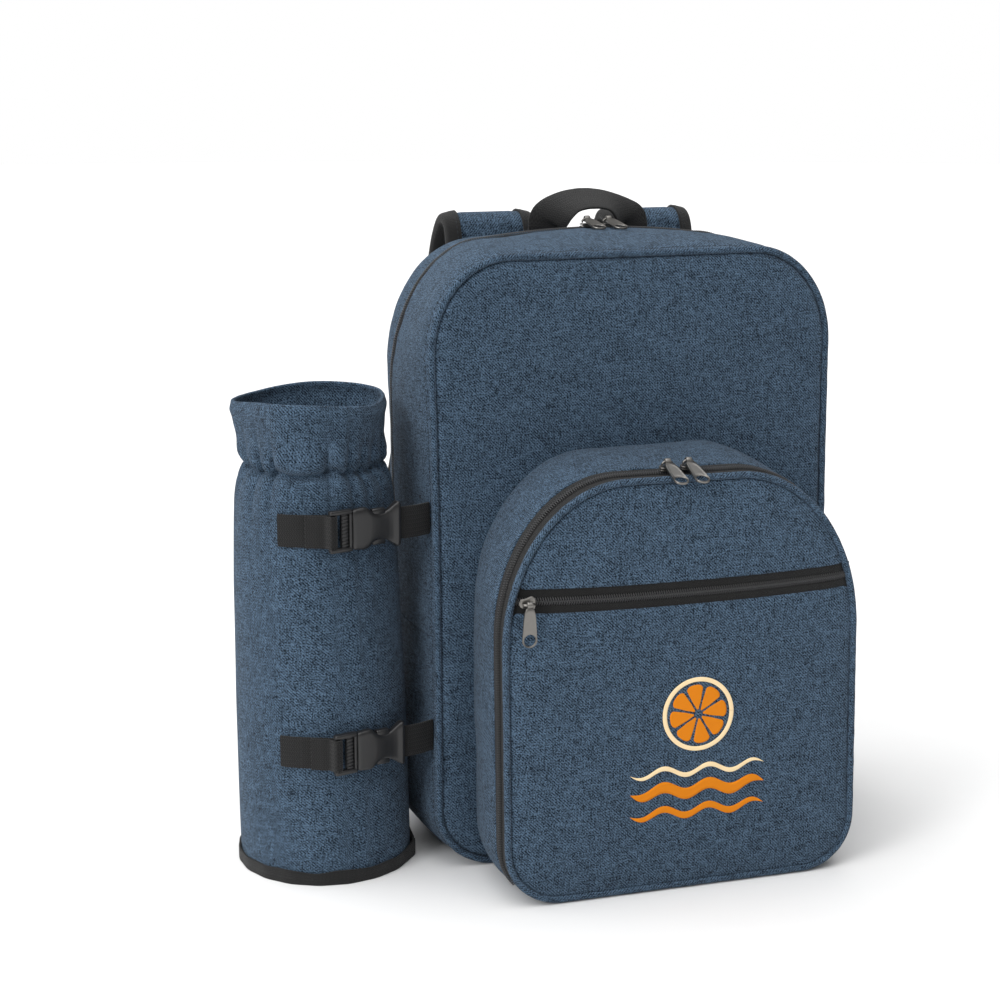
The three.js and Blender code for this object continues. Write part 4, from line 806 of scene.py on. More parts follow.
def webbing_group():
    """Webbing: rows of small arrowheads, each row offset from the next, with round threads between. Where the
    relief is low, its colour falls to painted shade between the threads.
    """
    def fill(g, put):
        cloth = g.stretched(put["Vector"], (1000, 1000, 1000))
        parts = g.node("ShaderNodeSeparateXYZ", (cloth,)).outputs
        fold = g.math("PINGPONG", parts[0], put["Rib"])
        slope = g.math("ADD", parts[1], fold)
        arrow = g.math("SINE", g.math("MULTIPLY", slope, g.math("DIVIDE", 6.283, put["Pick"])))
        gully = g.math("SINE", g.math("MULTIPLY", parts[0], g.math("DIVIDE", 3.1416, put["Rib"])))
        gully = g.math("ABSOLUTE", gully)
        height = g.math("MULTIPLY", g.math("MULTIPLY_ADD", arrow, 0.5, 0.5), g.math("POWER", gully, 0.5))
        fuzz = g.noise(cloth, 3.0, 2.0)
        share = g.math("MULTIPLY_ADD", g.math("SUBTRACT", fuzz, 0.5), 0.7, height)
        clamped = g.node("ShaderNodeClamp", (share,)).outputs[0]
        # Low relief takes the darker colour: painted shade in the gullies between the threads.
        return {"Color": g.mix(clamped, put["PaintedShade"], put["Thread"]), "Height": height}
    return shader_group(
        "Webbing weave",
        [("Vector", "NodeSocketVector", None), ("PaintedShade", "NodeSocketColor", (0.002, 0.002, 0.002, 1)),
         ("Thread", "NodeSocketColor", (0.02, 0.02, 0.02, 1)), ("Rib", "NodeSocketFloat", 1.3),
         ("Pick", "NodeSocketFloat", 1.5)],
        [("Color", "NodeSocketColor"), ("Height", "NodeSocketFloat")], fill)


def wear_group():
    """Handling marks: broad soft clouds and fine specks, as one mask."""
    def fill(g, put):
        cloud = g.noise(put["Vector"], put["Size"], 3.0)
        speck = g.noise(put["Vector"], g.math("MULTIPLY", put["Size"], 23.0), 2.0)
        mask = g.math("MULTIPLY_ADD", speck, 0.4, g.math("MULTIPLY", cloud, 0.6))
        return {"Mask": g.node("ShaderNodeClamp", (mask,)).outputs[0]}
    return shader_group(
        "Handling marks",
        [("Vector", "NodeSocketVector", None), ("Size", "NodeSocketFloat", 40.0)],
        [("Mask", "NodeSocketFloat")], fill)


class Finish:
    """A material under construction, with its Principled shader and its two sources of coordinates."""

    def __init__(self, name, **constants):
        self.material = bpy.data.materials.new(name)
        self.material.use_nodes = True
        tree = self.material.node_tree
        self.graph = Graph(tree)
        self.shader = next(n for n in tree.nodes if n.type == "BSDF_PRINCIPLED")
        for key, value in constants.items():
            self.shader.inputs[key.replace("_", " ")].default_value = value
        source = self.graph.node("ShaderNodeTexCoord")
        self.object = source.outputs["Object"]
        self.uv = source.outputs["UV"]

    def link(self, name, value):
        """Links a value that changes over the surface to the shader."""
        self.graph.tree.links.new(value, self.shader.inputs[name])

    def bump(self, height, distance, strength=1.0):
        """Fine relief from a height, in millimetres at full height."""
        relief = {"Height": height, "Distance": distance * MM, "Strength": strength}
        made = self.graph.node("ShaderNodeBump", relief)
        self.link("Normal", made.outputs[0])

    def placed(self, group, **values):
        """One of the shared groups, placed in this material with its own values."""
        made = self.graph.node("ShaderNodeGroup", node_tree=group)
        for key, value in values.items():
            key = key.replace("_", " ")
            if isinstance(value, bpy.types.NodeSocket):
                self.graph.tree.links.new(value, made.inputs[key])
            else:
                made.inputs[key].default_value = value
        return made.outputs

    def roughness(self, low, high, mask):
        """Roughness between two values, by a mask."""
        span = self.graph.node("ShaderNodeMapRange", (mask, 0.0, 1.0, low, high))
        self.link("Roughness", span.outputs[0])


def cloth_finish(name, settings, pale_share):
    """Melange cloth with its weave along the piece's own UV."""
    made = Finish(name, Sheen_Weight=0.06, Sheen_Roughness=0.5, Specular_IOR_Level=0.1)
    weave = made.placed(
        melange_group(), Vector=made.uv, Dark_thread=(*settings.dark_thread, 1),
        Pale_thread=(*settings.pale_thread, 1), Pale_share=pale_share,
    )
    made.link("Base Color", weave["Color"])
    made.bump(weave["Height"], 0.16)
    made.roughness(0.86, 0.98, made.placed(wear_group(), Vector=made.object, Size=18.0)["Mask"])
    return made.material


def webbing_finish(name, settings, rib, pick, thread_share=1.0):
    """Black webbing or tape with its weave along the piece's own UV."""
    thread = tuple(c * thread_share for c in settings.webbing)
    made = Finish(name, Sheen_Weight=0.1, Specular_IOR_Level=0.3)
    weave = made.placed(
        # The darker colour, an eighth of the webbing's own, is painted shade between the threads.
        webbing_group(), Vector=made.uv, PaintedShade=tuple(c * 0.12 for c in settings.webbing) + (1,),
        Thread=thread + (1,), Rib=rib, Pick=pick,
    )
    made.link("Base Color", weave["Color"])
    made.bump(weave["Height"], 0.25)
    made.roughness(0.62, 0.85, made.placed(wear_group(), Vector=made.object, Size=60.0)["Mask"])
    return made.material


def hard_finish(name, colour, low, high, size, metallic=0.0, grain=0.02):
    """A moulded or plated finish: one colour clouded by handling, with a fine grain."""
    made = Finish(name, Metallic=metallic)
    mask = made.placed(wear_group(), Vector=made.object, Size=size)["Mask"]
    darker = tuple(c * 0.72 for c in colour) + (1,)
    made.link("Base Color", made.graph.mix(mask, darker, tuple(colour) + (1,)))
    made.roughness(low, high, mask)
    made.bump(made.graph.noise(made.object, 2200.0, 2.0), grain)
    return made.material


def ink_finish(name, colour):
    """Printed ink that lies in the cloth: its weave shows through as relief and as slightly thinner ink."""
    made = Finish(name, Specular_IOR_Level=0.2)
    weave = made.placed(melange_group(), Vector=made.uv, Pale_share=0.6)
    worn_ink = tuple(c * 0.86 for c in colour) + (1,)
    share = made.graph.node("ShaderNodeClamp", (weave["Height"],)).outputs[0]
    made.link("Base Color", made.graph.mix(share, worn_ink, tuple(colour) + (1,)))
    made.bump(weave["Height"], 0.06)
    made.roughness(0.6, 0.8, share)
    return made.material


def finishes(settings):
    """Every finish of the bag by name, made once."""
    if "Melange cloth" not in bpy.data.materials:
        cloth_finish("Melange cloth", settings, settings.pale_share)
        webbing_finish("Webbing", settings, 1.3, 1.5)
        webbing_finish("Binding tape", settings, 0.55, 0.8, 0.9)
        webbing_finish("Zip tape", settings, 0.4, 0.55, 0.55)
        hard_finish("Zip coil", (0.045, 0.045, 0.047), 0.28, 0.42, 300.0)
        hard_finish("Nickel", settings.nickel, 0.3, 0.48, 500.0, metallic=1.0, grain=0.01)
        hard_finish("Moulded plastic", settings.plastic, 0.24, 0.38, 90.0)
        hard_finish("Net thread", (0.035, 0.035, 0.037), 0.7, 0.9, 300.0)
        hard_finish("Sewing thread", (0.012, 0.017, 0.025), 0.6, 0.8, 300.0)
        ink_finish("Orange ink", settings.orange_ink)
        ink_finish("Cream ink", settings.cream_ink)
    return {material.name: material for material in bpy.data.materials}


# Settings

def length_setting(name, text, value):
    """A length in metres that a user can change."""
    return bpy.props.FloatProperty(name=name, description=text, default=value, unit="LENGTH", precision=4)


def colour_setting(name, text, value):
    """A colour that a user can change."""
    return bpy.props.FloatVectorProperty(
        name=name, description=text, default=value, subtype="COLOR", size=3, min=0.0, max=1.0)


class BagColours(bpy.types.PropertyGroup):
    """Colours of the cloth, the trim and the print."""

    dark_thread: colour_setting("Dark thread", "The cloth's dark threads", (0.005, 0.009, 0.015))
    pale_thread: colour_setting("Pale thread", "The cloth's pale threads", (0.105, 0.17, 0.255))
    pale_share: bpy.props.FloatProperty(
        name="Pale share", description="How much of the cloth's face is pale thread", default=0.44,
        min=0.0, max=1.0, subtype="FACTOR")
    webbing: colour_setting("Webbing", "Webbing, binding and zip tape", (0.014, 0.014, 0.0145))
    plastic: colour_setting("Plastic", "Buckles and ladder locks", (0.016, 0.016, 0.017))
    nickel: colour_setting("Nickel", "Sliders and pulls", (0.25, 0.24, 0.225))
    orange_ink: colour_setting("Orange ink", "The print's main colour", (0.73, 0.22, 0.004))
    cream_ink: colour_setting("Cream ink", "The print's second colour", (0.97, 0.75, 0.45))


class BagSizes(bpy.types.PropertyGroup):
    """Sizes that can be changed without new solids."""

    stitch_pitch: length_setting("Stitch pitch", "From one stitch to the next", 0.0036)
    coil_pitch: length_setting("Coil pitch", "From one zip tooth to the next on its side", 0.0015)
    net_cell: length_setting("Net cell", "Width of one opening of the net", 0.0042)
    roundel: length_setting("Roundel", "Radius of the printed fruit slice", 0.023)


class PieceOperator:
    """What the operators share."""

    bl_options = {"REGISTER", "UNDO"}

    @property
    def colours(self):
        return bpy.context.scene.bag_colours

    @property
    def sizes(self):
        return bpy.context.scene.bag_sizes

    @property
    def looks(self):
        return finishes(self.colours)


class BAG_OT_main(PieceOperator, bpy.types.Operator):
    """Sew the main bag: its front and back panels, piping and padded gusset"""

    bl_idname = "bag.main_bag"
    bl_label = "Main bag"

    def execute(self, context):
        cloth = self.looks["Melange cloth"]
        middle = (0, 0, MAIN_H / 2)
        half_slit = ZIP_SLIT / 2 / MAIN_D
        edge = (PIPING_D / 2 + GAP) / LEAST_DEPTH
        rear_edge = 1 - (PIPING_D + GAP) / LEAST_DEPTH
        stretches = {
            "top_gusset_front": (edge, ZIP_DEPTH - half_slit, 32, run_above, 5.2),
            "top_gusset_rear": (ZIP_DEPTH + half_slit, rear_edge, 18, run_above, 0),
            "base_gusset": (edge, rear_edge, 36, run_below, 5.2),
        }
        for seed, (name, (start, end, rows, run, stitched)) in enumerate(stretches.items()):
            depths = edge_spaced(start, end, rows)
            points = strip(
                main_ring, lambda depth, x, z: main_y(depth, z), depths,
                lambda loop: run(loop, ZIP_END_Z, 340),
            )
            run_in = np.cumsum(np.linalg.norm(np.diff(points, axis=0, prepend=points[:1]), axis=-1), axis=0)
            width = run_in[-1:]
            height = seam_relief(points, run_in, width, stitched, 20 + 3 * seed)
            if name == "base_gusset":
                height = height - rolled(width - run_in, 1.2)
                height = np.where(points[..., 2] < 3, np.minimum(height, 0), height)
            points = grown(points, height, middle)
            points[..., 2] = np.maximum(points[..., 2], 0)
            piece = walled(surface(name + "_cloth", points, cloth, inner=middle), MAIN_WALL - 0.6)
            worn(piece, nodes=[name])
            if stitched:
                row = int(np.argmin(np.abs(run_in[:, run_in.shape[1] // 2] - stitched)))
                out = normals(points)[row]
                out = out * np.sign(np.sum(out * (points[row] - middle)))
                thread = stitches(
                    name + "_stitches", points[row], out, self.looks["Sewing thread"],
                    pitch=self.sizes.stitch_pitch / MM)
                worn(thread)

        cord = main_cord()
        piece = cord_tube("front_piping_cord", cord, lambda x, z: front_y(z), cloth, 31)
        worn(piece, nodes=["main_front_piping"])
        back = main_ring(1, PIPING_D / 2) + np.array([0, GAP])
        piece = cord_tube("back_piping_cord", back, lambda x, z: BACK_Y - PIPING_D / 2 + 0 * z, cloth, 33)
        worn(piece, nodes=["back_piping"])

        self.front_panel(cloth, cord)
        self.back_panel(cloth, back)
        return {"FINISHED"}

    def front_panel(self, cloth, cord):
        """The front panel falls into the piping's seam, has a low crown and a few dents beside the pocket's
        lower left corner, each dent a bell curve."""
        centre = cord.mean(0)
        loop = even_steps(cord, 400, closed=True)
        inward = unit(centre - loop)
        loop = loop + inward * (PIPING_D / 2 + 0.1)
        dents = table(
            "x z width tall depth",
            (-127, 70, 5, 18, 1.6), (-119, 44, 8, 10, -1.2), (-123, 100, 7, 22, -0.8),
            (112, 60, 9, 26, 0.9),
        )

        def height(flat):
            away = distance_to(flat, loop)
            x, z = flat[..., 0], flat[..., 1]
            place = np.stack([x, z, 0 * x], -1)
            y = front_y(z) - PIPING_D / 2 + 2.6 * np.exp(-away / 1.7) - 1.8 * (1 - np.exp(-away / 30))
            y = y + 0.9 * ripple(place, 110, 8) * np.clip(away / 20, 0, 1)
            y = y + 0.25 * ripple(place, 16, 9) * np.exp(-away / 8)
            for k in range(len(dents["x"])):
                over = (x - dents["x"][k]) / dents["width"][k]
                up = (z - dents["z"][k]) / dents["tall"][k]
                y = y + dents["depth"][k] * np.exp(-(over**2 + up**2))
            return y

        piece = panel("front_panel_cloth", loop, 38, height, cloth, (0, 100, MAIN_H / 2))
        worn(walled(piece, MAIN_WALL - 1), nodes=["main_front_panel"])

    def back_panel(self, cloth, cord):
        """The back panel is plain and softly crowned."""
        loop = even_steps(cord, 280, closed=True)
        loop = loop + unit(cord.mean(0) - loop) * (PIPING_D / 2 + 0.1)

        def height(flat):
            away = distance_to(flat, loop)
            place = np.stack([flat[..., 0], flat[..., 1], 0 * away], -1)
            crown = 0.3 * (1 - np.exp(-away / 30)) - 1.6 * np.exp(-away / 1.7)
            return BACK_Y + crown - 0.5 * (1 + ripple(place, 90, 12)) * np.clip(away / 20, 0, 1)

        piece = panel("back_panel_cloth", loop, 28, height, cloth, (0, -100, MAIN_H / 2))
        worn(walled(piece, MAIN_WALL - 1), nodes=["back_panel"])


class BAG_OT_main_zip(PieceOperator, bpy.types.Operator):
    """Set in the main zip: its tape and its coil, over the top and down to the side seams"""

    bl_idname = "bag.main_zip"
    bl_label = "Main zip"

    def execute(self, context):
        half = ZIP_SLIT / 2 + 0.8
        middle = (0, 0, MAIN_H / 2)
        depths = np.linspace(ZIP_DEPTH - half / MAIN_D, ZIP_DEPTH + half / MAIN_D, 7)
        points = strip(
            lambda depth: main_ring(depth, 0.4), lambda depth, x, z: main_y(depth, z), depths,
            lambda loop: run_above(loop, ZIP_END_Z, 500),
        )
        tape = walled(surface("main_zip_tape_cloth", points, self.looks["Zip tape"], inner=middle), 1.0)
        worn(tape, nodes=["main_zip_tape"])
        row = points[3]
        out = normals(points)[3]
        out = out * np.sign(np.sum(out * (row - middle)))
        coil = zip_coil("main_zip_coil_teeth", row, out, self.looks["Zip coil"], 4.2,
                        self.sizes.coil_pitch / MM)
        worn(coil, nodes=["main_zip_coil"])
        return {"FINISHED"}


class BAG_OT_pocket(PieceOperator, bpy.types.Operator):
    """Sew the front pocket: its gusset, piping and two front panels"""

    bl_idname = "bag.front_pocket"
    bl_label = "Front pocket"

    def execute(self, context):
        cloth = self.looks["Melange cloth"]
        centre = (0, -100, POCKET_TOP / 2)
        zip_from = 1 - (PIPING_D / 2 + GAP) / POCKET_D
        zip_to = 1 - (PIPING_D / 2 + GAP + POCKET_ZIP_W) / POCKET_D

        depths = edge_spaced(0, zip_to, 26)
        points = strip(pocket_ring, pocket_y, depths, lambda loop: even_steps(loop, 400, closed=True))
        run = np.cumsum(np.linalg.norm(np.diff(points, axis=0, prepend=points[:1]), axis=-1), axis=0)
        height = seam_relief(points, run, run[-1:], 0, 41) + 0.6 * np.sin(np.pi * run / run[-1:])
        height = np.where(points[..., 2] < 4, np.minimum(height, 0), height)
        points = grown(points, height, centre, wrap=(False, True))
        points[..., 2] = np.maximum(points[..., 2], 0)
        gusset = surface("pocket_gusset_cloth", points, cloth, wrap=(False, True), inner=centre)
        worn(walled(gusset, POCKET_WALL - 0.5), nodes=["pocket_gusset"])

        foot = edge_spaced(zip_to, zip_from, 10)
        points = strip(pocket_ring, pocket_y, foot, lambda loop: run_below(loop, 9.0, 160))
        strip_piece = surface("pocket_foot_cloth", points, cloth, inner=centre)
        worn(walled(strip_piece, POCKET_WALL - 0.5), nodes=["pocket_foot_strip"])

        piece = cord_tube("pocket_piping_cord", pocket_cord(), pocket_face_y, cloth, 45)
        worn(piece, nodes=["pocket_piping"])

        self.front(cloth, "upper", 1)
        self.front(cloth, "lower", -1)
        return {"FINISHED"}

    def front(self, cloth, which, side):
        """One front panel, on its side of the cross zip: it falls into the piping's seam and rolls over at
        the zip."""
        lip = CROSS_W / 2 + 0.1
        keep = PANEL_EDGE[side * (PANEL_EDGE[:, 1] - cross_zip_z(PANEL_EDGE[:, 0])) > lip]
        if side < 0:
            turned = np.roll(PANEL_EDGE, len(PANEL_EDGE) // 2, axis=0)
            keep = turned[side * (turned[:, 1] - cross_zip_z(turned[:, 0])) > lip]
        x = np.linspace(keep[-1, 0], keep[0, 0], 160)[1:-1]
        edge = np.column_stack([x, cross_zip_z(x) + side * lip])
        loop = even_steps(np.vstack([keep, edge]), 380, closed=True)

        def height(flat):
            x, z = flat[..., 0], flat[..., 1]
            away = distance_to(flat, EDGE_LINE)
            lap = side * (z - cross_zip_z(x)) - lip
            place = np.stack([x, z, 0 * x], -1)
            pucker = 0.18 * ripple(place, 13, 51) * np.exp(-lap / 6)
            return pocket_front(x, z, away) - rolled(lap, 1.3) + pucker

        piece = panel(f"pocket_front_{which}_cloth", loop, 36, height, cloth, (0, 0, 120))
        worn(walled(piece, POCKET_WALL - 1), nodes=[f"pocket_panel_{which}"])


class BAG_OT_pocket_zips(PieceOperator, bpy.types.Operator):
    """Set in the front pocket's two zips: tapes and coils"""

    bl_idname = "bag.pocket_zips"
    bl_label = "Pocket zips"

    def execute(self, context):
        tape_look, coil_look = self.looks["Zip tape"], self.looks["Zip coil"]
        centre = (0, -100, POCKET_TOP / 2)
        from_edge = np.linspace(PIPING_D / 2 + 0.1, PIPING_D / 2 + GAP + POCKET_ZIP_W + 1.2, 15)
        points = strip(
            lambda depth: pocket_ring(depth, TAPE_SUNK), pocket_y, 1 - from_edge / POCKET_D,
            lambda loop: run_above(loop, 10.5, 420),
        )
        tape = walled(surface("pocket_zip_tape_cloth", points, tape_look, inner=centre), 1.0)
        worn(tape, nodes=["pocket_zip_tape"])
        out = normals(points)[7]
        out = out * np.sign(np.sum(out * (points[7] - centre)))
        coil = zip_coil("pocket_zip_coil_teeth", points[7], out, coil_look, 5.4, self.sizes.coil_pitch / MM)
        worn(coil, nodes=["pocket_zip_coil"])

        reach = PANEL_EDGE[:, 0].max() - 1.5
        x = np.linspace(-reach, reach, 220)[None, :] + np.zeros((15, 1))
        across = np.linspace(-CROSS_W / 2 - 1.2, CROSS_W / 2 + 1.2, 15)[:, None]
        z = cross_zip_z(x) + across
        away = distance_to(np.stack([x, z], -1), EDGE_LINE)
        y = pocket_front(x, z, away) + 1.3
        points = np.stack([x, y, z], -1)
        tape = walled(surface("cross_zip_tape_cloth", points, tape_look, inner=(0, 0, CROSS_Z)), 1.0)
        worn(tape, nodes=["cross_zip_tape"])
        out = np.broadcast_to([0.0, -1.0, 0.0], points[7].shape)
        coil = zip_coil("cross_zip_coil_teeth", points[7], out, coil_look, 5.4, self.sizes.coil_pitch / MM)
        worn(coil, nodes=["cross_zip_coil"])
        return {"FINISHED"}


class BAG_OT_sliders(PieceOperator, bpy.types.Operator):
    """Thread the five zip sliders and their pulls"""

    bl_idname = "bag.sliders"
    bl_label = "Sliders and pulls"

    def execute(self, context):
        slope = math.degrees(math.atan((1.003 - 0.992) * POCKET_TOP / (0.2 * POCKET_D)))
        lies = {"main_a": (0, 10), "main_b": (0, 10), "pocket_a": (slope, 20), "pocket_b": (slope, 20),
                "cross": (90, 90)}
        for name, (lie, hang) in lies.items():
            eye = JOINTS[name + "_pull"]
            points = placed(self.slider(), eye, turned_x(lie))
            body = rods(name + "_slider_body", points, self.looks["Nickel"])
            worn(body, nodes=[name + "_slider"])
            points = placed(self.pull(), eye, turned_x(hang))
            pull = surface(name + "_pull_tab", points, self.looks["Nickel"], wrap=(True, True))
            worn(pull, body=name + "_pull", nodes=[name + "_pull"])
            points = placed(self.eye(), eye, turned_x(hang))
            ring = surface(name + "_pull_eye", points, self.looks["Nickel"], wrap=(True, True))
            worn(ring, body=name + "_pull")
        return {"FINISHED"}

    def slider(self):
        """A waisted body of two plates, one over the other, and a wire bridge over the pull's eye."""
        low = -5.4
        across = table(
            "x half", (-5.25, 2.0), (-4.2, 2.7), (-1.6, 2.6), (2.0, 3.9), (4.6, 4.1), (5.25, 3.6))
        x = np.linspace(-5.25, 5.25, 11)
        half = column(across, "half", x, 0.4)
        size = np.array([0, 0.8, 1, 1, 1, 1, 1, 1, 1, 0.8, 0])
        plates = []
        for z, thick in ((low + 0.5, 0.5), (low + 1.95, 0.5)):
            section = super_section(half * size, thick * size, 20, 5.0)
            line = np.column_stack([x, 0 * x, 0 * x + z])
            plates.append(line[:, None] + self.upright(section))
        core = np.column_stack([x * 0.6, 0 * x, 0 * x + low + 1.2])
        section = super_section(1.5 * size, 1.1 * size, 20, 4.0)
        plates.append(core[:, None] + self.upright(section))
        a = np.linspace(0, np.pi, 11)
        arch = np.column_stack([-3.4 * np.cos(a), 0 * a, low + 2.2 + 3.5 * np.sin(a) ** 0.6])
        radii = 0.75 * np.array([0] + [1] * 9 + [0])
        bridge = rod_points(arch[None], radii, 20, np.array([0, 1.0, 0.01]))
        return np.concatenate([np.array(plates), bridge])

    def upright(self, section):
        """A flat section stood at right angles to X."""
        return np.stack([0 * section[..., 0], section[..., 0], section[..., 1]], -1)

    def pull(self):
        """A flat tab: its outer loop widens from the eye to a round end, and its hole is a circle there."""
        end = 4.7
        middle = np.array([0.0, -(26.0 - end)])
        a = np.linspace(0, 2 * np.pi, 97)[:-1] + np.pi / 2
        hole = middle + 3.5 * np.column_stack([np.cos(a), np.sin(a)])
        side = table("y half", (-26, 4.7), (-21.3, 4.7), (-6, 3.6), (-3.2, 2.9), (-1.2, 1.9))
        ray = np.column_stack([np.cos(a), np.sin(a)])
        reach = np.full(len(a), end)
        upper = ray[:, 1] > 0
        for step in np.linspace(4.7, 20.2, 300):
            tip = middle + ray * step
            within = np.abs(tip[:, 0]) < np.interp(tip[:, 1], side["y"], side["half"])
            inside = upper & (tip[:, 1] < -1.2) & within
            reach = np.where(inside & (step > reach), step, reach)
        outer = middle + ray * reach[:, None]
        plate = ring_plate(outer, hole, 1.3)
        away = np.linalg.norm(plate[..., :2] - outer, axis=-1)
        plate[..., 2] *= 0.72 + 0.5 * np.exp(-((away - 0.5) / 0.45) ** 2)
        return plate

    def eye(self):
        """The rolled eye of the pull: a tube round X."""
        a = np.linspace(0, 2 * np.pi, 33)[:-1]
        section = super_section(1.8, 0.55, 16, 5.0)
        radius = 1.5 + section[:, 1]
        y = radius[None, :] * np.cos(a)[:, None]
        z = radius[None, :] * np.sin(a)[:, None]
        x = np.broadcast_to(section[:, 0], y.shape)
        return np.stack([x, y, z], -1)


class BAG_OT_handle(PieceOperator, bpy.types.Operator):
    """Bend the carry handle"""

    bl_idname = "bag.carry_handle"
    bl_label = "Carry handle"

    def execute(self, context):
        """The webbing stands up from both feet facing forward and rolls over until its grip faces up."""
        depth = ZIP_DEPTH + HANDLE_SETBACK / MAIN_D
        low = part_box("carry_handle")[0]
        foot = low.z / MM
        y = main_y(depth, foot)
        tip = math.radians(HANDLE_TIP)
        halves = []
        for side in (-1, 1):
            roll = np.radians(HANDLE_ROWS["roll"])
            at = np.column_stack([
                HANDLE_X + side * HANDLE_ROWS["across"] * HANDLE_SPAN / 2, 0 * roll + y,
                foot + HANDLE_ROWS["rise"] * HANDLE_RISE])
            across = np.column_stack([
                side * np.cos(roll), np.sin(roll) * math.cos(tip), np.sin(roll) * math.sin(tip)])
            halves.append(np.hstack([at, across]))
        rows = np.vstack([halves[0], halves[1][::-1][1:]])
        rows = curve_through(rows, 140)
        piece = webbing_band(
            "handle_webbing", rows[:, :3], rows[:, 3:], HANDLE_W, HANDLE_T, self.looks["Webbing"], 40)
        worn(piece, nodes=["carry_handle"])
        return {"FINISHED"}


class BAG_OT_straps(PieceOperator, bpy.types.Operator):
    """Sew the shoulder straps with their bindings, ladder locks and anchor webbing"""

    bl_idname = "bag.shoulder_straps"
    bl_label = "Shoulder straps"

    def execute(self, context):
        off_least = STRAP_T / 2 + BIND_GAP + BIND_T + GAP
        rows = STRAP_ROWS
        points = np.column_stack([
            STRAP_X + (ANCHOR_X - STRAP_X) * rows["out"], BACK_Y + off_least + rows["off"] * STRAP_REACH,
            rows["height"] * MAIN_H, rows["width"] * STRAP_W,
        ])
        smooth = curve_through(points, 120)
        for name, side in (("left", -1), ("right", 1)):
            path = smooth[:, :3] * np.array([side, 1, 1]) + np.array([STRAP_SKEW, 0, 0])
            self.strap(name, path, smooth[:, 3])
            self.lock(name, path)
        return {"FINISHED"}

    def strap(self, name, path, width):
        """The core is thick along its middle and thin at its edges, where a binding folds round each."""
        half = width / 2 - BIND_T - BIND_GAP
        across = np.linspace(-1, 1, 41)
        thin = STRAP_T / 2 * 0.45
        rim = (half - BIND_W - BIND_GAP) / half
        fall = np.clip((np.abs(across)[None, :] - rim[:, None]) / (1 - rim[:, None]), 0, 1)
        seam = 0.5 * np.exp(-((np.abs(across)[None, :] - rim[:, None]) * 18) ** 2)
        thick = thin + (STRAP_T / 2 - thin) * (1 - fall**1.5) - seam
        top = np.stack([half[:, None] * across[None, :], thick], -1)
        section = np.concatenate([top, (top * [1, -1])[:, ::-1]], 1)
        points = swept(path, (1, 0, 0), section)
        points = points + 0.5 * ripple(points, 60, 61)[..., None] * np.array([0, 1, 0])
        piece = surface(
            f"strap_{name}_core", capped(points), self.looks["Melange cloth"], wrap=(False, True), weld=True)
        worn(piece, nodes=[f"shoulder_strap_{name}"])
        lip = thin + (STRAP_T / 2 - thin) * (1 - BIND_GAP / BIND_W)
        over = BIND_GAP + BIND_T
        for where, edge in (("inner", -1), ("outer", 1)):
            edge = edge if name == "right" else -edge
            shape = np.array([
                [-BIND_W, lip + over], [-BIND_W * 0.5, (lip + thin) / 2 + over], [-1.2, thin + over - 0.2],
                [0, 0], [-1.2, -thin - over + 0.2], [-BIND_W * 0.5, -(lip + thin) / 2 - over],
                [-BIND_W, -lip - over],
            ])
            outer = curve_through(shape, 25)
            inner = curve_through(shape * [0.97, 0.72] + [-BIND_T * 0.9, 0], 25)[::-1]
            inner[:, 0] = np.maximum(inner[:, 0], -BIND_W)
            profile = np.vstack([outer, inner])
            rise = np.broadcast_to(profile[:, 1], (len(width), len(profile)))
            section = np.stack([edge * (width[:, None] / 2 + profile[None, :, 0]), rise], -1)
            points = swept(path, (1, 0, 0), section)
            uv_run = np.concatenate([[0], np.cumsum(np.linalg.norm(np.diff(path, axis=0), axis=1))])
            place = np.append(profile[:, 0] + np.sign(profile[:, 1]) * 20, profile[0, 0])
            uv = np.stack(np.meshgrid(place, uv_run), -1)
            piece = surface(
                f"strap_{name}_binding_{where}", points, self.looks["Binding tape"],
                wrap=(False, True), uv=uv)
            close_ends(piece)
            worn(piece, nodes=[f"strap_binding_{where}_{name}"])
            for face, label in ((2, "front"), (22, "rear")):
                line = points[:, face]
                out = np.sign(line - path)[:, 1:2] * np.array([0, 1.0, 0])
                thread = stitches(
                    f"strap_{name}_{where}_stitches_{label}", line, out, self.looks["Sewing thread"],
                    pitch=self.sizes.stitch_pitch / MM)
                worn(thread)

    def lock(self, name, path):
        """The ladder lock: two rails and three cross bars, and the webbing from it to the bag's foot."""
        down = unit(path[-1] - path[-3])
        side = 1.0 if name == "right" else -1.0
        across = unit(np.array([1, 0, 0]) - down[0] * down)
        up = np.cross(down, across)
        middle = path[-1] + down * (LOCK_L / 2 + GAP)
        rows = [((-12, y, 0), (12, y, 0), 1.9, 1.7) for y in (-14.6, 14.6)]
        rungs = ((-10.2, 1.8), (0, 2.8), (10.2, 1.8))
        rows += [((x, -15.5, 0), (x, 15.5, 0), half, 1.6) for x, half in rungs]
        points = placed(bars(rows), middle, [down, across, up])
        piece = rods(f"ladder_lock_{name}_frame", points, self.looks["Moulded plastic"])
        worn(piece, nodes=[f"ladder_lock_{name}"])
        leave = middle + down * (LOCK_L / 2 - 1.5)
        foot = np.array([path[-1, 0], BACK_Y + 1.1, 30.0])
        route = np.array([
            leave, leave + down * 6, (leave + foot) / 2 + [0, 3, 0], foot + [0, 1.6, 12], foot,
        ])
        band = webbing_band(
            f"anchor_{name}_webbing", curve_through(route, 60), (side, 0, 0), ANCHOR_W, 1.6,
            self.looks["Webbing"])
        worn(band, nodes=[f"anchor_webbing_{name}"])


def close_ends(piece):
    """Closes a mesh's open end loops with faces."""
    work = bmesh.new()
    work.from_mesh(piece.data)
    open_edges = [e for e in work.edges if e.is_boundary]
    made = bmesh.ops.holes_fill(work, edges=open_edges, sides=0)["faces"]
    bmesh.ops.triangulate(work, faces=made)
    work.to_mesh(piece.data)
    work.free()


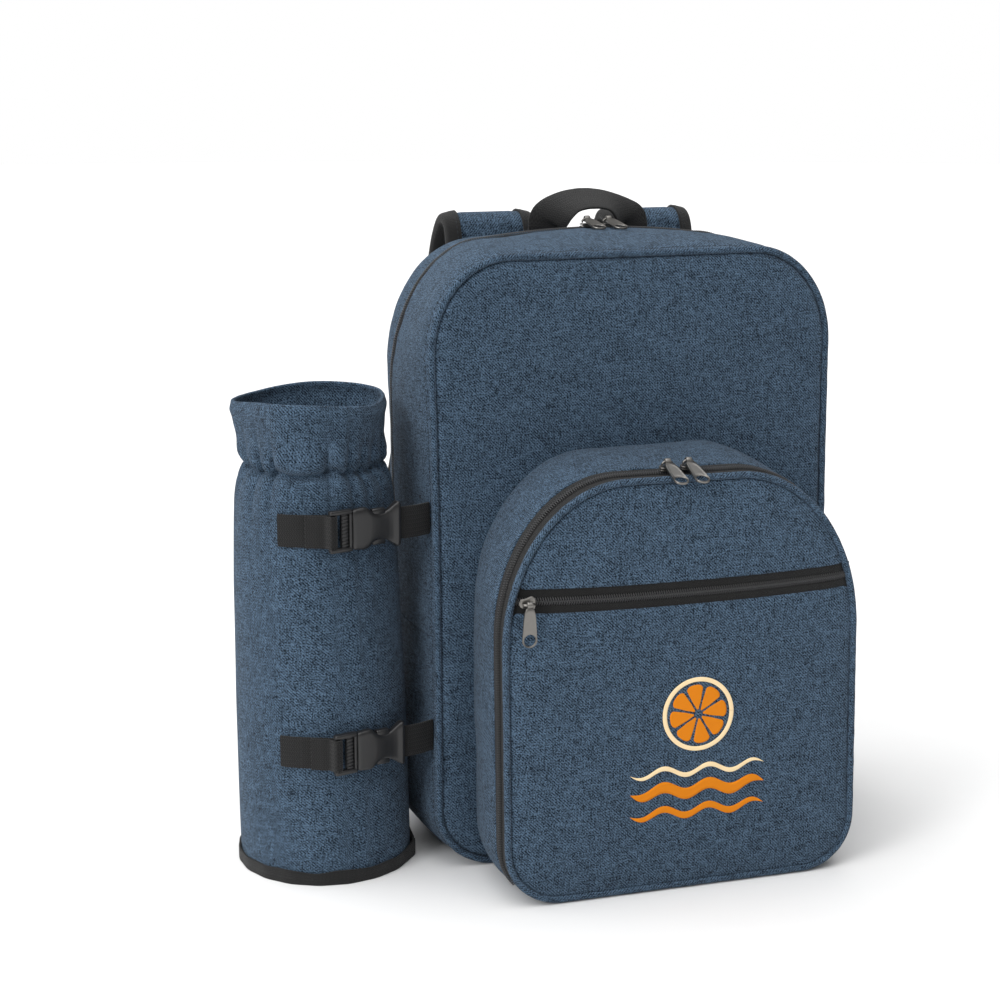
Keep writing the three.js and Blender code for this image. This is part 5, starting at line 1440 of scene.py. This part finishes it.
def holder_point(height, angle, inset):
    """The bottle holder's cloth: a ring whose radius follows the height, drawn into uneven pillows with sharp
    tucks between them where it is gathered, with a cord line at the neck, an overhang above it, and a
    collar that flares to a rim with soft corners."""
    share = {name: column(HOLDER_ROWS, name, height, 0.012) for name in HOLDER_ROWS if name != "height"}
    warped = angle + 0.2 * np.sin(2 * angle + 1.0) + 0.09 * np.sin(5 * angle)
    pillow = np.abs(np.sin(PILLOWS / 2 * warped)) ** 0.6
    pillow = pillow * (0.75 + 0.25 * np.sin(3 * angle + 1))
    neck = HOLDER_NECK + 0.005 * np.sin(PILLOWS * warped) + 0.004 * np.sin(3 * angle)
    groove = np.exp(-((height - neck) / 0.007) ** 2)
    collar = np.exp(-((height - neck - 0.028) / 0.02) ** 2)
    corners = np.sin(3 * angle + 0.6) + 0.5 * np.sin(5 * angle)
    place = np.stack([HOLDER_R * np.cos(angle), HOLDER_R * np.sin(angle), height * HOLDER_H], -1)
    creases = 0.8 * ripple(place, 26, 71, (1, 1, 2.5)) * np.exp(-((height - 0.9) / 0.08) ** 2)
    foot = np.exp(-height / 0.035)
    folds = 0.55 * ripple(place, 60, 72, (1, 1, 1.6)) + 0.3 * ripple(place, 12, 73, (1, 1, 3)) * foot
    r = (
        share["radius"] * HOLDER_R - inset + share["tuck"] * (7.5 * pillow - 5.0) - 3.4 * groove
        + 3.2 * collar * pillow + share["flare"] * 2.6 * corners + creases + folds
        + 1.3 * np.exp(-((height - 0.985) / 0.012) ** 2)
    )
    drop = 3.2 * collar * pillow - share["flare"] * 2.5 * np.sin(2 * angle - 0.5)
    return np.stack([
        HOLDER_X - HOLDER_TILT * height + r * np.cos(angle), HOLDER_Y + r * np.sin(angle),
        height * HOLDER_H - drop,
    ], -1)


class BAG_OT_holder(PieceOperator, bpy.types.Operator):
    """Sew the bottle holder: its gathered sleeve, base and binding"""

    bl_idname = "bag.bottle_holder"
    bl_label = "Bottle holder"

    def execute(self, context):
        angle = np.linspace(0, 2 * np.pi, 281)[:-1]
        body = np.linspace(HOLDER_LOW, 0.7, 32)[:-1]
        neck = np.linspace(0.7, 1.0, 72)
        outer = np.concatenate([body, neck])
        lining = np.concatenate([np.linspace(1.0, 0.8, 24), np.linspace(0.8, HOLDER_LOW, 9)[1:]])
        turn = np.linspace(0, np.pi, 9)[1:-1]
        height = np.concatenate([outer, np.ones(len(turn)), lining])
        inset = np.concatenate([
            0 * outer, HOLDER_WALL / 2 * (1 - np.cos(turn)), 0 * lining + HOLDER_WALL])
        rise = np.concatenate([0 * outer, HOLDER_WALL / 2 * np.sin(turn), 0 * lining])
        h, a = np.meshgrid(height, angle, indexing="ij")
        points = holder_point(h, a, inset[:, None])
        points[..., 2] += rise[:, None]
        piece = surface("holder_sleeve_cloth", points, self.looks["Melange cloth"], wrap=(True, True))
        worn(piece, nodes=["holder_sleeve"])

        share = np.array([0, 0.3, 0.6, 0.85, 0.97, 1, 0.97, 0.85, 0.6, 0.3, 0])
        lift = np.array([4.9, 4.9, 4.9, 4.8, 4.3, 3.3, 2.3, 1.9, 1.8, 1.8, 1.8])
        reach = (HOLDER_R - HOLDER_WALL - GAP) * share
        base = np.stack([
            HOLDER_X + reach[:, None] * np.cos(angle), HOLDER_Y + reach[:, None] * np.sin(angle),
            lift[:, None] + 0 * angle], -1)
        piece = surface("holder_base_cloth", base, self.looks["Melange cloth"], wrap=(False, True), weld=True)
        worn(piece, nodes=["holder_base"])
        self.binding(angle)
        return {"FINISHED"}

    def binding(self, angle):
        """Tape folded round the foot: a tall thin section whose upper edge wavers, with a bump where its ends
        overlap."""
        section = super_section(0.85, 4.25, 28, 5.0)
        lap = np.exp(-((angle + 0.45 - 2 * np.pi * (angle > np.pi)) / 0.09) ** 2)
        waver = 0.5 * np.sin(7 * angle) + 0.4 * np.sin(11 * angle + 1) + 2.2 * lap
        r = HOLDER_R + 1.0 + section[None, :, 0] + 1.8 * lap[:, None] + 0.25 * np.sin(19 * angle)[:, None]
        up = 4.25 + section[None, :, 1]
        z = up * (1 + waver[:, None] / 8.5)
        points = np.stack([
            HOLDER_X + r * np.cos(angle)[:, None], HOLDER_Y + r * np.sin(angle)[:, None],
            np.maximum(z, 0)], -1)
        piece = surface("holder_binding_tape", points, self.looks["Binding tape"], wrap=(True, True))
        worn(piece, nodes=["holder_binding"])


class BAG_OT_buckles(PieceOperator, bpy.types.Operator):
    """Fasten the bottle holder's two straps with their closed buckles"""

    bl_idname = "bag.buckles"
    bl_label = "Holder straps"

    def execute(self, context):
        for name, (z, sewn, setback) in STRAPS.items():
            self.fasten(name, z, sewn, setback)
        return {"FINISHED"}

    def fasten(self, name, z, sewn, setback):
        """The buckle's own frame: x along the strap from the plug's bar, y up the bag and z away from it. The
        webbing leaves the sleeve at a tangent to the loop round the bar."""
        height = z / HOLDER_H
        r = np.interp(height, HOLDER_ROWS["height"], HOLDER_ROWS["radius"]) * HOLDER_R
        axle = np.array([HOLDER_X - HOLDER_TILT * height, HOLDER_Y, z])
        behind = PIPING_D + WEB_T
        share = np.interp((behind + WEB_T) / LEAST_DEPTH, MAIN_RINGS["depth"], MAIN_RINGS["width"])
        half = share * MAIN_W / 2 * (1 - MAIN_WAIST * math.sin(math.pi * z / MAIN_H))
        end = np.array([-half - GAP, front_y(z) + behind, z])
        clear = r + BUCKLE_T / 2 + BUCKLE_LIFT
        turn = math.asin(clear / np.linalg.norm(end - axle))
        aim = unit(end - axle)
        along = np.array([
            aim[0] * math.cos(turn) - aim[1] * math.sin(turn),
            aim[0] * math.sin(turn) + aim[1] * math.cos(turn), 0])
        start = end + along * (axle[0] - setback - end[0]) / along[0]
        up = np.array([0, 0, 1.0])
        out = np.cross(along, up)
        axes = [along, up, out]
        plastic, webbing = self.looks["Moulded plastic"], self.looks["Webbing"]

        x = SHELL_ROWS["along"] * SHELL_L
        line = np.linspace(0, SHELL_L, 90)
        wide = column({"x": x, "v": SHELL_ROWS["width"]}, "v", line, 0.8) * BUCKLE_W / 2
        thick = column({"x": x, "v": SHELL_ROWS["thick"]}, "v", line, 0.8) * BUCKLE_T / 2
        section = super_section(wide, thick, 44, 5.0)
        shell = np.stack([
            np.broadcast_to(line[:, None] + FRAME_L + GAP, section.shape[:2]), section[..., 0],
            section[..., 1]], -1)
        points = capped(placed(shell, start, axes))
        shell = surface(f"buckle_{name}_shell", points, plastic, wrap=(False, True), weld=True)
        worn(shell, nodes=[f"buckle_shell_{name}"])

        rail = BUCKLE_W / 2 - 1.5
        rows = [((0.2, y, 0), (15.2, y, 0), 1.5, 2.2) for y in (-rail, rail)]
        rows += [((1.5, -rail, 0), (1.5, rail, 0), 1.5, 1.3)]
        rows += [((10.2, -rail, -0.4), (10.2, rail, -0.4), 2.4, 1.5)]
        rows += [((14.0, -rail, 0), (14.0, rail, 0), 1.2, 2.0)]
        rows += [((8.1, y, 1.0), (12.3, y, 1.0), 0.62, 0.75) for y in np.linspace(-8.8, 8.8, 9)]
        rows += [((14, y, 0), (38, y, 0), 1.5, 1.6) for y in (-7.4, 7.4)]
        rows += [((28.5, y, 0), (37.5, y, 0), 2.3, 2.3) for y in (-8.9, 8.9)]
        plug = rods(f"buckle_{name}_plug", placed(bars(rows), start, axes), plastic)
        worn(plug, nodes=[f"buckle_plug_{name}"])

        loop = math.hypot(3.0, 2.6) / 2 + GAP + WEB_T / 2
        sleeve = r + 4 * GAP + WEB_T / 2
        to_bar = start + along * 1.5 - axle
        leave = math.atan2(to_bar[1], to_bar[0]) - math.acos((sleeve + loop) / np.linalg.norm(to_bar))
        angle = np.linspace(-np.pi / 2 - sewn / sleeve, leave, 9)
        lay = axle + sleeve * np.column_stack([np.cos(angle), np.sin(angle), 0 * angle]) - start
        lay = np.column_stack([lay @ along, 0 * angle, lay @ out])
        lead = np.array([-math.sin(leave), math.cos(leave), 0])
        tilt = math.atan2(lead @ out, lead @ along)
        a = tilt + np.linspace(-np.pi / 2, np.pi / 2, 7)
        bend = np.column_stack([1.5 + loop * np.cos(a), 0 * a, loop * np.sin(a)])
        back = []
        for before, over in ((4, 1.3), (9, 1.1), (16, 0.55)):
            lift = 1.4 + over - loop
            back.append([
                1.5 - before * math.cos(tilt) - lift * math.sin(tilt), 0,
                lift * math.cos(tilt) - before * math.sin(tilt)])
        path = curve_through(np.vstack([lay, bend, back]), 170)
        band = webbing_band(
            f"holder_webbing_{name}_band", placed(path, start, axes), up, WEB_W, WEB_T, webbing)
        worn(band, nodes=[f"holder_webbing_{name}"])

        reach = np.linalg.norm(end - start)
        tail = FRAME_L + SHELL_L - 2.5
        path = curve_through([
            [tail, 0, -1.0], [tail + 5, 0, -0.1], [tail + TAIL_L / 2, 0, 0.6], [tail + TAIL_L, 0, 0.5],
            [max(reach - 4, tail + TAIL_L + 1), 0, -0.6], [reach, 0, -1.4]], 70)
        band = webbing_band(f"bag_webbing_{name}_band", placed(path, start, axes), up, WEB_W, 2.2, webbing)
        worn(band, nodes=[f"bag_webbing_{name}"])


def net_point(across, height, inset):
    """The net pocket in plan is a superellipse against the bag's side, and its depth follows the height."""
    z = NET_FOOT + height * (NET_TOP - NET_FOOT)
    y0 = -MAIN_D / 2 + 10.0
    y1 = MAIN_D / 2 - 22.0
    a = across * np.pi / 2
    spread = np.sign(across) * np.abs(np.sin(a)) ** (2 / NET_POWER)
    stand = np.abs(np.cos(a)) ** (2 / NET_POWER)
    y = (y0 + y1) / 2 + spread * ((y1 - y0) / 2 - inset)
    depth = (y - front_y(z)) / (BACK_Y - front_y(z))
    side = np.interp(depth, MAIN_RINGS["depth"], MAIN_RINGS["width"]) * MAIN_W / 2
    side = side * (1 - MAIN_WAIST * np.sin(np.pi * z / MAIN_H)) + 1.6
    bulge = np.interp(height, NET_RINGS["height"], NET_RINGS["bulge"]) * NET_BULGE
    return np.stack([side + stand * (bulge - inset), y, z], -1)


class BAG_OT_net(PieceOperator, bpy.types.Operator):
    """Knit the side net pocket and its hem"""

    bl_idname = "bag.net_pocket"
    bl_label = "Net pocket"

    def execute(self, context):
        """Two families of slanting threads that kink at each crossing, so that the cells are six-sided."""
        fine = np.linspace(-1, 1, 400)
        plan = net_point(fine, 0.5 + 0 * fine, 0.6)
        run = np.concatenate([[0], np.cumsum(np.linalg.norm(np.diff(plan, axis=0), axis=1))])
        width = run[-1]
        tall = NET_TOP - NET_FOOT
        cell = self.sizes.net_cell / MM
        lean = tall * 0.6
        share = np.linspace(0, 1, 60)
        lines = []
        for way in (1, -1):
            start = np.arange(-lean + cell / 2, width, cell)
            low = np.clip(-start / lean, 0, 1)[:, None]
            high = np.clip((width - start) / lean, 0, 1)[:, None]
            t = low + (high - low) * share
            kink = 0.22 * cell * np.sin(2 * np.pi * t * lean / cell)
            s = np.clip(start[:, None] + t * lean + kink, 0, width)
            s = s if way > 0 else width - s
            across = np.interp(s, run, fine)
            lines.append(net_point(across, t, 0.6 + 0.15 * way))
        radii = 0.42 * np.array([0] + [1] * 58 + [0])
        points = rod_points(np.concatenate(lines), radii, 4, np.array([0.2, 0.1, 1.0]))
        piece = rods("side_net_threads", points, self.looks["Net thread"])
        worn(piece, nodes=["side_net"])

        across = np.linspace(-1, 1, 200)
        a = np.arange(24) * 2 * np.pi / 24
        section = super_section(1.1, NET_HEM_H / 2, 24, 5.0)
        grid = np.meshgrid(across, a, indexing="ij")[0]
        points = net_point(grid, 1 + 0 * grid, -section[None, :, 0] + 0.2 * np.sin(grid * 60))
        points[..., 2] = NET_TOP + 0.3 + NET_HEM_H / 2 + section[None, :, 1]
        piece = surface(
            "net_hem_band", capped(points), self.looks["Binding tape"], wrap=(False, True), weld=True)
        worn(piece, nodes=["net_hem"])
        return {"FINISHED"}


class BAG_OT_print(PieceOperator, bpy.types.Operator):
    """Print a fruit slice over two waves on the pocket's lower panel"""

    bl_idname = "bag.pocket_print"
    bl_label = "Print"

    def execute(self, context):
        orange, cream = [], []
        radius = self.sizes.roundel / MM
        middle = np.array([6.0, 113.0])
        for k in range(8):
            orange.append(self.wedge(middle, radius * 0.80, k * 45.0 + 8, 37.0))
        cream.append(self.ring(middle, radius * 0.88, radius))
        orange.append(self.wave(66.0, 3.6, 0.0))
        cream.append(self.wave(78.0, 1.5, 0.0))
        orange.append(self.wave(52.0, 2.2, 0.0))
        prints = (("orange_print", orange, "Orange ink"), ("cream_print", cream, "Cream ink"))
        for name, shapes, look in prints:
            for k, flat in enumerate(shapes):
                x, z = flat[..., 0], flat[..., 1]
                away = distance_to(flat, EDGE_LINE)
                points = np.stack([x, pocket_front(x, z, away) - 0.18, z], -1)
                piece = surface(f"{name}_{k}", points, self.looks[look], inner=(0, 0, 100), uv=flat)
                worn(walled(piece, 0.15))
        return {"FINISHED"}

    def wedge(self, middle, radius, turn, spread):
        """A fruit segment: a slice of a circle drawn in from its neighbours, with soft corners."""
        t = np.linspace(0, 1, 16)[:, None]
        s = np.linspace(-1, 1, 16)[None, :]
        reach = radius * (0.16 + 0.84 * t)
        a = np.radians(turn + 0.5 * spread * s * (0.55 + 0.45 * np.sin(np.pi / 2 * np.clip(t * 2.4, 0, 1))))
        reach = reach * (1 - 0.10 * np.abs(s) ** 4 * t)
        return np.stack([middle[0] + reach * np.cos(a), middle[1] + reach * np.sin(a)], -1)

    def ring(self, middle, inner, outer):
        """The slice's rind."""
        t = np.linspace(inner, outer, 5)[:, None]
        a = np.linspace(0, 2 * np.pi, 121)[None, :]
        return np.stack([middle[0] + t * np.cos(a), middle[1] + t * np.sin(a)], -1)

    def wave(self, level, half, phase):
        """A bar with pointed ends that runs as a sine."""
        s = np.linspace(-1, 1, 120)[None, :]
        t = np.linspace(-1, 1, 5)[:, None]
        x = 6.0 + 44.0 * s
        thick = half * (1 - np.abs(s) ** 6)
        return np.stack([x + 0 * t, level + 2.6 * np.sin(3 * np.pi * s + phase) + thick * t], -1)


class BAG_OT_stage(bpy.types.Operator):
    """Set up the pale floor, the soft lights and the camera"""

    bl_idname = "bag.stage"
    bl_label = "Stage"
    bl_options = {"REGISTER", "UNDO"}

    def execute(self, context):
        scene = context.scene
        scene.view_settings.view_transform = "Standard"
        camera = bpy.data.objects.new("Camera", bpy.data.cameras.new("Camera"))
        camera.location = CAMERA_AT
        camera.rotation_euler = (math.radians(90 - CAMERA_PITCH), 0, math.radians(CAMERA_YAW))
        camera.data.lens = CAMERA_LENS
        camera.data.sensor_width = 36
        scene.collection.objects.link(camera)
        scene.camera = camera

        pale = Finish("Pale floor", Roughness=0.9)
        marks = pale.placed(wear_group(), Vector=pale.object, Size=2.0)["Mask"]
        pale.link("Base Color", pale.graph.mix(marks, (0.8, 0.8, 0.8, 1), (0.83, 0.83, 0.83, 1)))
        a = np.linspace(0, 2 * np.pi, 97)[:-1]
        reach = np.array([0.0, 400, 1200, 3000, 9000])
        points = np.stack([
            reach[:, None] * np.cos(a), reach[:, None] * np.sin(a), 0 * reach[:, None] * a], -1)
        floor = surface("floor", points, pale.material, wrap=(False, True), inner=(0, 0, -4000), weld=True)
        self.backdrop(scene)
        lamps = table(
            "x y z power spread",
            (-0.3, 0.1, 1.0, 4.0, 90), (-1.0, -0.5, 0.5, 1.25, 22), (0.35, -1.0, 0.8, 0.45, 40),
        )
        for k in range(len(lamps["x"])):
            lamp = bpy.data.objects.new(f"Softbox_{k}", bpy.data.lights.new(f"Softbox_{k}", "SUN"))
            lamp.data.energy = lamps["power"][k]
            lamp.data.angle = math.radians(lamps["spread"][k])
            from_x, from_y, from_z = lamps["x"][k], lamps["y"][k], lamps["z"][k]
            lamp.rotation_euler = (
                math.atan2(math.hypot(from_x, from_y), from_z), 0, math.atan2(from_y, from_x) + math.pi / 2)
            scene.collection.objects.link(lamp)
        return {"FINISHED"}

    def backdrop(self, scene):
        """The world is plain white where it is seen and a dim even fill where it lights the bag."""
        world = bpy.data.worlds.new("Studio")
        scene.world = world
        world.use_nodes = True
        graph = Graph(world.node_tree)
        seen = graph.node("ShaderNodeLightPath").outputs["Is Camera Ray"]
        strength = graph.node("ShaderNodeMapRange", (seen, 0.0, 1.0, 0.12, 1.0)).outputs[0]
        world.node_tree.links.new(strength, world.node_tree.nodes["Background"].inputs[1])
        world.node_tree.nodes["Background"].inputs[0].default_value = (1.0, 1.0, 1.0, 1)


class BAG_PT_panel(bpy.types.Panel):
    """The backpack's settings and the steps that sew it"""

    bl_label = "Cooler backpack"
    bl_idname = "BAG_PT_panel"
    bl_space_type = "VIEW_3D"
    bl_region_type = "UI"
    bl_category = "Backpack"

    def draw(self, context):
        layout = self.layout
        for group in (context.scene.bag_colours, context.scene.bag_sizes):
            for name in group.__annotations__:
                layout.prop(group, name)
        for operator in OPERATORS:
            layout.operator(operator.bl_idname)


OPERATORS = (
    BAG_OT_stage, BAG_OT_main, BAG_OT_main_zip, BAG_OT_pocket, BAG_OT_pocket_zips, BAG_OT_sliders,
    BAG_OT_handle, BAG_OT_straps, BAG_OT_holder, BAG_OT_buckles, BAG_OT_net, BAG_OT_print,
)
CLASSES = (BagColours, BagSizes, *OPERATORS, BAG_PT_panel)


def register():
    """Adds the classes and the scene's settings."""
    for cls in CLASSES:
        bpy.utils.register_class(cls)
    bpy.types.Scene.bag_colours = bpy.props.PointerProperty(type=BagColours)
    bpy.types.Scene.bag_sizes = bpy.props.PointerProperty(type=BagSizes)


def unregister():
    """Takes the classes and the settings away again."""
    del bpy.types.Scene.bag_sizes
    del bpy.types.Scene.bag_colours
    for cls in reversed(CLASSES):
        bpy.utils.unregister_class(cls)


def main():
    """Sews the whole bag."""
    register()
    for operator in OPERATORS:
        group, name = operator.bl_idname.split(".")
        getattr(getattr(bpy.ops, group), name)()
    bpy.context.view_layer.update()


if __name__ == "__main__":
    main()
